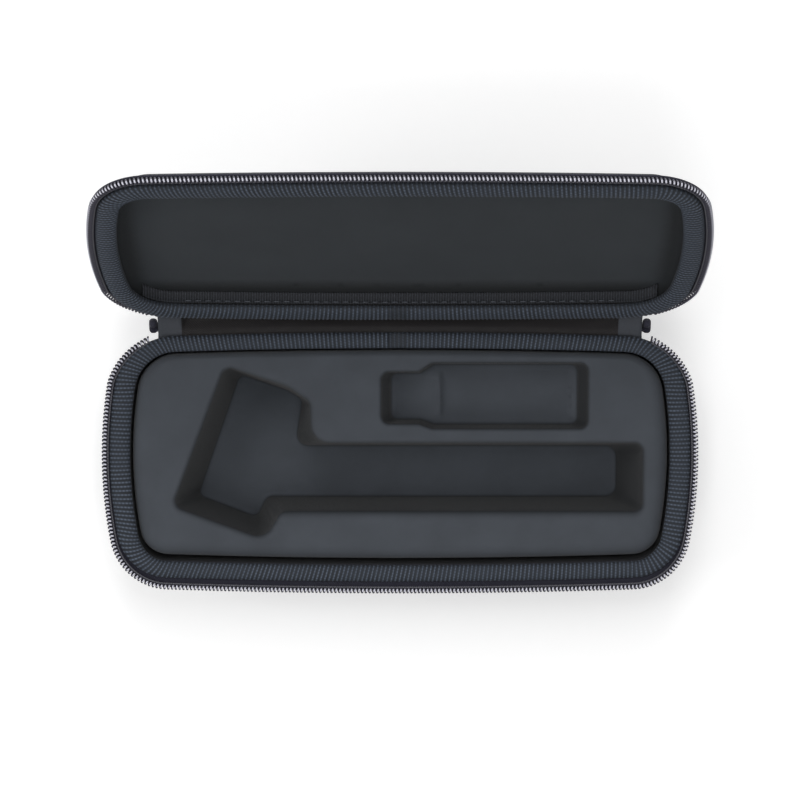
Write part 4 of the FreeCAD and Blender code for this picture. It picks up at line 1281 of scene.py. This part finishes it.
def tray_piece():
    """Foam tray with a rolled edge, an instrument recess and a bottle recess."""
    steps = steps_round(rim(TRAY_INSET), 2.6, 1.4)
    roll_foot = TRAY_TOP - TRAY_ROLL_DROP
    rear_gain = TRAY_ROLL_RUN - TRAY_ROLL_REAR_RUN
    skin = Skin()
    edge = []
    for z in (TRAY_FOOT, (TRAY_FOOT + roll_foot) / 2.0):
        edge.append(skin.add([(x, y, z) for x, y, _ in round_points(rim(TRAY_INSET), steps)]))
    for sine, cosine in quarter_turns(9):
        run = 1.0 - cosine
        z = roll_foot + (TRAY_ROLL_DROP - 0.1) * sine
        outline = rim(TRAY_INSET + TRAY_ROLL_RUN * run, rear_gain * run)
        edge.append(skin.add([(x, y, z) for x, y, _ in round_points(outline, steps)]))
    skin.loft(edge, lengths_along(round_points(rim(TRAY_INSET), steps)))
    instrument = recess_rows(skin, INSTRUMENT_LIP, INSTRUMENT_FLOOR, TRAY_FLOOR, LIP_RADIUS, LIP_WIDTHS)
    bottle = recess_rows(
        skin, bottle_corners(0.0), bottle_corners(1.0), BOTTLE_FLOOR, BOTTLE_LIP_RADIUS, EVEN_LIPS
    )
    for rows in (instrument, bottle):
        skin.loft(rows, lengths_along([skin.places[k] for k in rows[0]]))
    skin.fill(edge[-1], [instrument[0], bottle[0]], 1.6, land_height)
    skin.fill(instrument[-1], [], 2.2, lambda x, y: TRAY_FLOOR + 0.1 + soft_waves(x, y, 9.0, 0.12))
    skin.fill(bottle[-1], [], 0.9, bottle_height)
    runs = run_steps(INSTRUMENT_LIP)
    under = recess_ring(INSTRUMENT_FLOOR, TRAY_WALL, runs)
    lip_under = recess_ring(INSTRUMENT_LIP, TRAY_WALL, runs)
    share = (TRAY_FOOT - TRAY_FLOOR) / (TRAY_TOP - TRAY_FLOOR)
    waist = [(ax + (bx - ax) * share, ay + (by - ay) * share) for (ax, ay), (bx, by) in zip(under, lip_under)]
    block = [skin.add([(x, y, TRAY_FOOT) for x, y in waist])]
    block.append(skin.add([(x, y, TRAY_LOW.z) for x, y in recess_ring(INSTRUMENT_FLOOR, 0.5, runs)]))
    skin.loft(block, lengths_along(waist))
    skin.fill(edge[0], [block[0]], 6.0, lambda x, y: TRAY_FOOT)
    skin.fill(block[1], [], 6.0, lambda x, y: TRAY_LOW.z)
    return skin.piece("insert_tray_foam")


def lifted_profile(places, walls):
    """A profile moved off its face by a wall for each place."""
    lifted = []
    for k, (inset, z) in enumerate(places):
        before = places[max(k - 1, 0)]
        after = places[min(k + 1, len(places) - 1)]
        along = Vector((after[0] - before[0], after[1] - before[1])).normalized()
        lifted.append((inset - along.y * walls[k], z + along.x * walls[k]))
    return lifted


def hinge_face():
    """Profile of the lid lining's face under the ribbed tape."""
    lining = LINING_WALL
    depth = LID_CAVITY - lining
    run = LID_CAVITY_RUN - lining
    drop = LID_CAVITY_ROUND - lining
    straight = depth - drop
    foot = SEAM_INSET + straight * math.tan(SHELL_DRAFT)
    places = [(SEAM_INSET, SHELL_TOP)]
    steps = 10
    for k in range(steps + 1):
        turn = HINGE_TAPE_TURN * k / steps
        places.append((foot + run * (1.0 - math.cos(turn)), SHELL_TOP - straight - drop * math.sin(turn)))
    return places


def hinge_tape_piece():
    """Ribbed tape that lies on the lining along the hinge side."""
    face = hinge_face()
    top = lifted_profile(face, [HINGE_TAPE_WALL] * len(face))
    count = 120
    skin = Skin()
    rows = []
    for inset, z in face + top[::-1]:
        row = []
        for k in range(count + 1):
            x = HINGE_TAPE_HALF * (2.0 * k / count - 1.0)
            row.append((x, rear_y(x, inset), z))
        rows.append(skin.add(row))
    along = [2.0 * HINGE_TAPE_HALF * k / count for k in range(count + 2)]
    skin.loft(rows, along, closed=False, round_section=True)
    skin.cap([row[0] for row in rows])
    skin.cap([row[-1] for row in rows])
    return skin.piece("lid_ribbed_tape", opened_matrix())


def stitch_row_piece():
    """Row of stitches near the upper edge of the ribbed tape."""
    inset = SEAM_INSET + HINGE_TAPE_WALL + STITCH_DROP * math.tan(SHELL_DRAFT) + 0.1
    count = int(STITCH_ROW_HALF / STITCH_PITCH)
    skin = Skin()
    sides = 8
    ends = 9
    for k in range(-count, count):
        middle = (k + 0.5) * STITCH_PITCH
        rings = []
        for n in range(ends):
            share = 2.0 * n / (ends - 1) - 1.0
            x = middle + share * STITCH_LENGTH / 2.0
            bulge = math.sqrt(max(0.0, 1.0 - share**2)) ** 0.5
            radius = STITCH_RADIUS * max(bulge, 0.25)
            y = rear_y(x, inset + STITCH_RADIUS * bulge)
            z = SHELL_TOP - STITCH_DROP
            turns = [2.0 * math.pi * m / sides for m in range(sides)]
            rings.append(skin.add([(x, y + radius * math.cos(t), z + radius * math.sin(t)) for t in turns]))
        skin.loft(rings, [0.25 * m for m in range(sides + 1)])
        skin.cap(rings[0])
        skin.cap(rings[-1])
    return skin.piece("lid_tape_stitches", opened_matrix())


def spine_line(x):
    """Middle of the fabric spine at one x, as y and z: clamped in each seam, slack between."""
    place = opened_matrix()
    middle = SHELL_TOP + TAPE_WALL / 2.0
    inner = rear_y(x, SEAM_INSET)
    edge = rear_y(x, BINDING_START)
    start = Vector((edge, middle))
    far = place @ Vector((x, edge, middle))
    chord = Vector((far.y, far.z)) - start
    out = Vector((chord.y, -chord.x)).normalized()
    line = [Vector((inner, middle))]
    count = 14
    slack = SPINE_SLACK + (TAB_SLACK - SPINE_SLACK) * eased(abs(x), SPINE_HALF - 0.6, TAB_START + 0.2)
    for k in range(count + 1):
        share = k / count
        line.append(start + chord * share + out * (slack * math.sin(math.pi * share)))
    end = place @ Vector((x, inner, middle))
    line.append(Vector((end.y, end.z)))
    return line


def spine_piece():
    """Cloth that joins the two rims along the hinge side."""
    skin = Skin()
    columns = []
    even = [SPINE_HALF * k / 45 for k in range(-44, 45)]
    tab = [SPINE_HALF - 0.6 + (TAB_START + 0.8 - SPINE_HALF) * k / 6 for k in range(7)]
    tab += [TAB_START + 0.2 + (SPINE_REACH - TAB_START - 0.2) * k / 6 for k in range(1, 7)]
    xs = [-x for x in tab[::-1]] + even + tab
    for x in xs:
        line = spine_line(x)
        over = []
        under = []
        for k, place in enumerate(line):
            before = (line[max(k, 1)] - line[max(k, 1) - 1]).normalized()
            after = (line[min(k + 1, len(line) - 1)] - line[min(k, len(line) - 2)]).normalized()
            mean = (before + after).normalized()
            normal = Vector((-mean.y, mean.x))
            ripple = 0.15 * noise.noise(Vector((x / 7.0, k / 3.0, 5.0)))
            ripple *= 0.0 if abs(x) > SPINE_HALF - 1.0 or not 1 < k < len(line) - 2 else 1.0
            over.append(place + normal * (SPINE_WALL / 2.0 + ripple))
            under.append(place - normal * (SPINE_WALL / 2.0 - ripple))
        columns.append([(x, p.x, p.y) for p in over + under[::-1]])
    rows = [skin.add([column[k] for column in columns]) for k in range(len(columns[0]))]
    skin.loft(rows, xs + [xs[-1]], closed=False, round_section=True)
    skin.slots = [int(abs(skin.places[face[0]][0] + skin.places[face[2]][0]) / 2.0 > TAB_START) for face in skin.faces]
    skin.slot = 1
    skin.cap([row[0] for row in rows])
    skin.cap([row[-1] for row in rows])
    return skin.piece("hinge_spine_cloth")


def loft_sections(skin, sections, along):
    """Joins closed sections one after the other and closes both ends."""
    rings = [skin.add(section) for section in sections]
    around = lengths_along([skin.places[k] for k in rings[0]])
    for (a, b), (v0, v1) in zip(zip(rings, rings[1:]), zip(along, along[1:])):
        skin.bridge(a, b, around, v0, v1)
    skin.cap(rings[0])
    skin.cap(rings[-1])


def rounded_box_ring(half_a, half_b, radius, steps=4):
    """Round-cornered rectangle about its middle."""
    ring = []
    for k, (sa, sb) in enumerate(((1, 1), (-1, 1), (-1, -1), (1, -1))):
        for n in range(steps + 1):
            angle = math.pi / 2.0 * (k + n / steps)
            a = sa * (half_a - radius) + radius * math.cos(angle)
            b = sb * (half_b - radius) + radius * math.sin(angle)
            ring.append((a, b))
    return ring


def tail_piece(name, side):
    """Closed tail of the zip: two rows of coil on their tapes, behind one hinge corner."""
    pitch = bpy.context.scene.case_tapes.coil_pitch / MM
    skin = Skin()
    path = (
        (TAIL_OUTER_X, 2.1),
        (TAIL_SPLIT_X, 2.1),
        (TAIL_CLOSED_X, 1.2),
        (TAIL_INNER_X, 1.2),
    )
    xs = [place[0] for place in path][::-1]
    zs = [place[1] for place in path][::-1]
    for way in (1, -1):
        count = int((TAIL_OUTER_X - TAIL_INNER_X) / pitch)
        per_turn = 12
        sections = []
        for k in range(count * per_turn + 1):
            x = TAIL_INNER_X + 0.4 + (TAIL_OUTER_X - TAIL_INNER_X - 0.8) * k / (count * per_turn)
            z = TAIL_Z + way * float(np.interp(x, xs, zs))
            turn = 2.0 * math.pi * k / per_turn
            wire = 0.3
            out = Vector((0.0, math.cos(turn), math.sin(turn)))
            middle = Vector((x, TAIL_Y, z)) + Vector((0.0, out.y * 0.66, out.z * 0.84))
            ring = []
            for n in range(6):
                angle = math.pi / 3.0 * n
                ring.append(middle + out * wire * math.cos(angle) + Vector((1, 0, 0)) * wire * math.sin(angle))
            sections.append([(side * p.x, p.y, p.z) for p in ring])
        loft_sections(skin, sections, [k / per_turn for k in range(len(sections))])
    return skin.piece(name)


def tail_tape_piece(name, side):
    """The two tapes that carry the tail's coils."""
    skin = Skin()
    for way in (1, -1):
        sections = []
        count = 16
        for k in range(count + 1):
            x = TAIL_INNER_X + (TAIL_OUTER_X - TAIL_INNER_X) * k / count
            split = float(np.interp(x, (TAIL_CLOSED_X, TAIL_SPLIT_X), (1.2, 2.1)))
            middle = (split + TAIL_HALF_HEIGHT) / 2.0
            ring = rounded_box_ring(0.3, TAIL_HALF_HEIGHT - middle, 0.12, 2)
            sections.append([(side * x, TAIL_Y + a, TAIL_Z + way * (middle + b)) for a, b in ring])
        loft_sections(skin, sections, [(TAIL_OUTER_X - TAIL_INNER_X) * k / count for k in range(count + 1)])
    return skin.piece(name)


def fold_piece(name, side):
    """Folded tape that leads from the rim down into the tail, rounded on its outer side."""
    low, high = frame_box("zip_fold_right" if side > 0 else "zip_fold_left")
    outer = max(abs(low.x), abs(high.x))
    inner = SPINE_REACH + 0.4
    middle_x = (outer + inner) / 2.0
    skin = Skin()
    sections = []
    count = 20
    for k in range(count + 1):
        share = k / count
        z = low.z + (high.z - low.z) * share
        full = math.sqrt(max(0.0, 1.0 - (2.0 * share - 1.0) ** 8))
        half_x = (outer - inner) / 2.0 * max(full, 0.4)
        near = low.y + 1.9 * eased(z, SHELL_TOP - 1.5, SHELL_TOP - 0.2)
        far = high.y + 1.9 * eased(z, TAIL_Z, SHELL_TOP - 1.0)
        half_y = (far - near) / 2.0 * max(full, 0.5)
        ring = rounded_box_ring(half_x, half_y, min(half_x, half_y) * 0.8)
        sections.append([(side * middle_x + a, (near + far) / 2.0 + b, z) for a, b in ring])
    loft_sections(skin, sections, [(high.z - low.z) * k / count for k in range(count + 1)])
    return skin.piece(name)


def end_tab_piece(name, side):
    """Sewn tab over the inner end of the tail."""
    low, high = frame_box("zip_end_tab_right" if side > 0 else "zip_end_tab_left")
    skin = Skin()
    sections = []
    count = 12
    for k in range(count + 1):
        share = k / count
        y = low.y + (high.y - low.y) * share
        tight = 1.0 if share < 0.7 else math.sqrt(max(0.0, 1.0 - ((share - 0.7) / 0.3) ** 2 * 0.35))
        half_x = (high.x - low.x) / 2.0 * tight
        half_z = (high.z - low.z) / 2.0 * tight
        ring = rounded_box_ring(half_x, half_z, 0.9)
        middle = ((low.x + high.x) / 2.0, (low.z + high.z) / 2.0)
        sections.append([(middle[0] + a, y, middle[1] + b) for a, b in ring])
    loft_sections(skin, sections, [(high.y - low.y) * k / count for k in range(count + 1)])
    return skin.piece(name)


# Settings


def length(name, description, millimetres):
    """A length setting in metres whose default is given in millimetres."""
    return bpy.props.FloatProperty(
        name=name, description=description, default=millimetres * MM, min=0.0, precision=5, unit="LENGTH"
    )


def colour(name, description, red, green, blue):
    """A colour setting whose default is given in display values out of 255."""
    return bpy.props.FloatVectorProperty(
        name=name,
        description=description,
        default=(*srgb(red, green, blue), 1.0),
        size=4,
        min=0.0,
        max=1.0,
        subtype="COLOR",
    )


class CaseOutline(bpy.types.PropertyGroup):
    """Sizes of the rim outline."""

    front_corner: length("Front corner", "Radius of the rim's front corners", 17.0)
    rear_corner: length("Rear corner", "Radius of the rim's hinge corners", 21.0)


class CaseTapes(bpy.types.PropertyGroup):
    """Sizes of the binding and the zip."""

    rib_pitch: length("Rib pitch", "Distance from rib to rib along the binding", 1.36)
    rib_height: length("Rib height", "How far the binding's ribs stand up", 0.3)
    coil_pitch: length("Coil pitch", "Distance from turn to turn of the coil", 1.25)
    coil_wire: length("Coil wire", "Thickness of the coil's wire", 0.66)


class CaseColours(bpy.types.PropertyGroup):
    """Colours of the cloths, tapes and metal."""

    shell: colour("Shell cloth", "Woven cloth on the outside", 46, 49, 56)
    inner: colour("Inner cloth", "Cloth inside the base", 30, 31, 34)
    tray: colour("Tray cloth", "Brushed knit on the tray", 68, 72, 78)
    lid_lining: colour("Lid lining", "Brushed knit inside the lid", 47, 51, 55)
    binding: colour("Binding", "Ribbed binding on both rims", 62, 69, 80)
    zip_tape: colour("Zip tape", "Tape beside the coil", 34, 34, 46)
    coil: colour("Coil", "Nylon coil", 50, 49, 60)
    # Colour of the painted highlight on each turn of the coil; the coil thread's colour is this made much darker
    coil_dots: colour("Coil crowns", "Bright crown of each turn of the coil", 206, 206, 218)
    hinge_tape: colour("Ribbed tape", "Tape along the hinge side of the lid", 40, 42, 47)
    spine: colour("Hinge cloth", "Cloth between the two rims", 26, 24, 25)
    tab: colour("Hinge tabs", "Smooth cloth at the ends of the hinge", 56, 59, 65)
    thread: colour("Thread", "Sewing thread", 84, 88, 96)
    metal: colour("Slider", "Enamel of the sliders and pullers", 40, 41, 45)


# Operators


class CASE_OT_shells(bpy.types.Operator):
    """Covers both moulded shells with woven cloth and lines the base"""

    bl_idname = "case.shells"
    bl_label = "Shells and base lining"

    def execute(self, context):
        base = moulded_shell("base_shell_cloth", SHELL_TOP, BASE_EDGE_ROUND, BASE_EDGE_ROUND, 0.0, None)
        dressed(base, shell_weave, "shell_cloth", "base", "base_shell")
        lid = moulded_shell(
            "lid_shell_cloth", LID_DEPTH, LID_DOME_RUN, LID_DOME_DROP, LID_SINK, opened_matrix()
        )
        dressed(lid, shell_weave, "shell_cloth", "lid", "lid_shell")
        dressed(base_lining_piece(), inner_weave, "inner_cloth", "base", "base_lining")
        return {"FINISHED"}


class CASE_OT_bindings(bpy.types.Operator):
    """Binds both rims with ribbed tape"""

    bl_idname = "case.bindings"
    bl_label = "Bindings"

    def execute(self, context):
        base = binding_piece("base_binding_ribs", "base")
        dressed(base, ribbed_binding, "binding_tape", "base", "base_binding")
        lid = binding_piece("lid_binding_ribs", "lid", opened_matrix())
        dressed(lid, ribbed_binding, "binding_tape", "lid", "lid_binding")
        return {"FINISHED"}


class CASE_OT_zip(bpy.types.Operator):
    """Lays the zip's tape and coil round both rims"""

    bl_idname = "case.zip"
    bl_label = "Zip tapes and coils"

    def execute(self, context):
        for body, place, nylon in (("base", None, coil_nylon), ("lid", opened_matrix(), lid_coil_nylon)):
            tape = zip_tape_piece(body + "_zip_tape_weave", place)
            dressed(tape, fine_tape, "zip_tape", body, body + "_zip_tape")
            coil = coil_piece(body + "_zip_coil_turns", place)
            dressed(coil, (nylon, coil_thread), "zip_coil", body, body + "_zip_coil")
        return {"FINISHED"}


class CASE_OT_tray(bpy.types.Operator):
    """Makes the soft tray with its two recesses"""

    bl_idname = "case.tray"
    bl_label = "Insert tray"

    def execute(self, context):
        tray = dressed(tray_piece(), tray_knit, "tray_cloth", "base", "insert_tray")
        return {"FINISHED"}


class CASE_OT_lid_lining(bpy.types.Operator):
    """Pads and lines the lid"""

    bl_idname = "case.lid_lining"
    bl_label = "Lid lining"

    def execute(self, context):
        pad = dressed(lid_lining_piece(), lid_knit, "lid_cloth", "lid", "lid_lining", "lid_padding")
        return {"FINISHED"}


class CASE_OT_hinge(bpy.types.Operator):
    """Joins the rims with cloth, and sews the ribbed tape along the hinge"""

    bl_idname = "case.hinge"
    bl_label = "Hinge cloth, tape and stitches"

    def execute(self, context):
        tape = dressed(hinge_tape_piece(), hinge_ribs, "ribbed_tape", "lid", "lid_hinge_tape")
        stitches = stitch_row_piece()
        dressed(stitches, sewing_thread, "thread", "lid", "lid_hinge_stitches")
        spine = dressed(spine_piece(), (spine_weave, tab_cloth), "spine_cloth", None, "hinge_spine")
        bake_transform(spine)
        return {"FINISHED"}


class CASE_OT_tails(bpy.types.Operator):
    """Adds the zip's folds, closed tails and sewn end tabs behind the hinge corners"""

    bl_idname = "case.tails"
    bl_label = "Zip tails"

    def execute(self, context):
        for side, word in ((-1, "left"), (1, "right")):
            fold = fold_piece("zip_fold_cloth_" + word, side)
            dressed(fold, fine_tape, "zip_tape", "base", "zip_fold_" + word)
            tail = tail_piece("zip_tail_turns_" + word, side)
            dressed(tail, coil_nylon, "zip_coil", "base", "zip_tail_" + word)
            tape = tail_tape_piece("zip_tail_tape_" + word, side)
            dressed(tape, fine_tape, "zip_tape", "base", "zip_tail_" + word)
            tab = end_tab_piece("zip_end_tab_cloth_" + word, side)
            dressed(tab, spine_weave, "spine_cloth", "base", "zip_end_tab_" + word)
        return {"FINISHED"}


class CASE_OT_sliders(bpy.types.Operator):
    """Gives the sliders and pullers their enamel"""

    bl_idname = "case.sliders"
    bl_label = "Sliders and pullers"

    def execute(self, context):
        for name in ("slider_left", "slider_right", "puller_left", "puller_right"):
            made = frame["nodes"][name]
            made.data.materials.clear()
            made.data.materials.append(kept(dark_enamel))
        return {"FINISHED"}


def area_light(name, place, target, size, size_y, power):
    """Rectangular lamp that faces a target; places in millimetres."""
    data = bpy.data.lights.new(name, "AREA")
    data.shape = "RECTANGLE"
    data.size = size * MM
    data.size_y = size_y * MM
    data.energy = power
    lamp = bpy.data.objects.new(name, data)
    lamp.location = Vector(place) * MM
    aim = (Vector(target) - Vector(place)).normalized()
    lamp.rotation_mode = "QUATERNION"
    lamp.rotation_quaternion = aim.to_track_quat("-Z", "Y")
    bpy.context.scene.collection.objects.link(lamp)
    return lamp


class CASE_OT_stage(bpy.types.Operator):
    """Sets the floor, the soft light, the white background and the camera"""

    bl_idname = "case.stage"
    bl_label = "Stage"

    def execute(self, context):
        half = 3.0
        mesh = bpy.data.meshes.new("studio_floor")
        corners = [(-half, -half, -0.0002), (half, -half, -0.0002), (half, half, -0.0002), (-half, half, -0.0002)]
        mesh.from_pydata(corners, [], [(0, 1, 2, 3)])
        floor = bpy.data.objects.new("studio_floor", mesh)
        context.scene.collection.objects.link(floor)
        mesh.materials.append(kept(pale_floor))
        world = context.scene.world or bpy.data.worlds.new("studio_world")
        context.scene.world = world
        world.use_nodes = True
        tree = world.node_tree
        back = tree.nodes["Background"]
        back.inputs["Color"].default_value = (1.0, 1.0, 1.0, 1.0)
        path = tree.nodes.new("ShaderNodeLightPath")
        shown = path.outputs["Is Camera Ray"]
        for ray in ("Is Glossy Ray", "Is Transmission Ray"):
            either = tree.nodes.new("ShaderNodeMath")
            either.operation = "MAXIMUM"
            tree.links.new(shown, either.inputs[0])
            tree.links.new(path.outputs[ray], either.inputs[1])
            shown = either.outputs[0]
        level = tree.nodes.new("ShaderNodeMapRange")
        level.inputs["To Min"].default_value = 0.32
        level.inputs["To Max"].default_value = 1.0
        tree.links.new(shown, level.inputs["Value"])
        tree.links.new(level.outputs[0], back.inputs["Strength"])
        area_light("rear_lamp", (0.0, 800.0, 700.0), (0.0, 0.0, 20.0), 450.0, 450.0, 2.8)
        area_light("left_lamp", (-750.0, 0.0, 700.0), (0.0, 0.0, 20.0), 450.0, 450.0, 2.1)
        area_light("front_top_lamp", (0.0, -350.0, 950.0), (0.0, 0.0, 20.0), 450.0, 450.0, 2.1)
        area_light("rear_top_lamp", (0.0, 400.0, 950.0), (0.0, 0.0, 20.0), 450.0, 450.0, 1.9)
        data = bpy.data.cameras.new("camera")
        data.lens = CAMERA_LENS
        data.sensor_width = 36.0
        data.clip_start = 0.05
        data.clip_end = 20.0
        camera = bpy.data.objects.new("camera", data)
        camera.location = Vector((0.0, CAMERA_BACK, CAMERA_HEIGHT)) * MM
        camera.rotation_euler = (-CAMERA_TILT, 0.0, 0.0)
        context.scene.collection.objects.link(camera)
        context.scene.camera = camera
        context.scene.view_settings.view_transform = "Standard"
        return {"FINISHED"}


class CASE_PT_pieces(bpy.types.Panel):
    """Lists the pieces of the case"""

    bl_label = "Zip case"
    bl_idname = "CASE_PT_pieces"
    bl_space_type = "VIEW_3D"
    bl_region_type = "UI"
    bl_category = "Zip case"

    def draw(self, context):
        for operator in OPERATORS:
            self.layout.operator(operator.bl_idname)


GROUPS = {"case_outline": CaseOutline, "case_tapes": CaseTapes, "case_colours": CaseColours}
OPERATORS = (
    CASE_OT_stage,
    CASE_OT_shells,
    CASE_OT_bindings,
    CASE_OT_zip,
    CASE_OT_tray,
    CASE_OT_lid_lining,
    CASE_OT_hinge,
    CASE_OT_tails,
    CASE_OT_sliders,
)


def register():
    for name, group in GROUPS.items():
        bpy.utils.register_class(group)
        setattr(bpy.types.Scene, name, bpy.props.PointerProperty(type=group))
    for each in (*OPERATORS, CASE_PT_pieces):
        bpy.utils.register_class(each)


def unregister():
    for each in (CASE_PT_pieces, *OPERATORS[::-1]):
        bpy.utils.unregister_class(each)
    for name, group in GROUPS.items():
        delattr(bpy.types.Scene, name)
        bpy.utils.unregister_class(group)


def main():
    register()
    bpy.ops.case.stage()
    bpy.ops.case.shells()
    bpy.ops.case.bindings()
    bpy.ops.case.zip()
    bpy.ops.case.tray()
    bpy.ops.case.lid_lining()
    bpy.ops.case.hinge()
    bpy.ops.case.tails()
    bpy.ops.case.sliders()


if __name__ == "__main__":
    main()
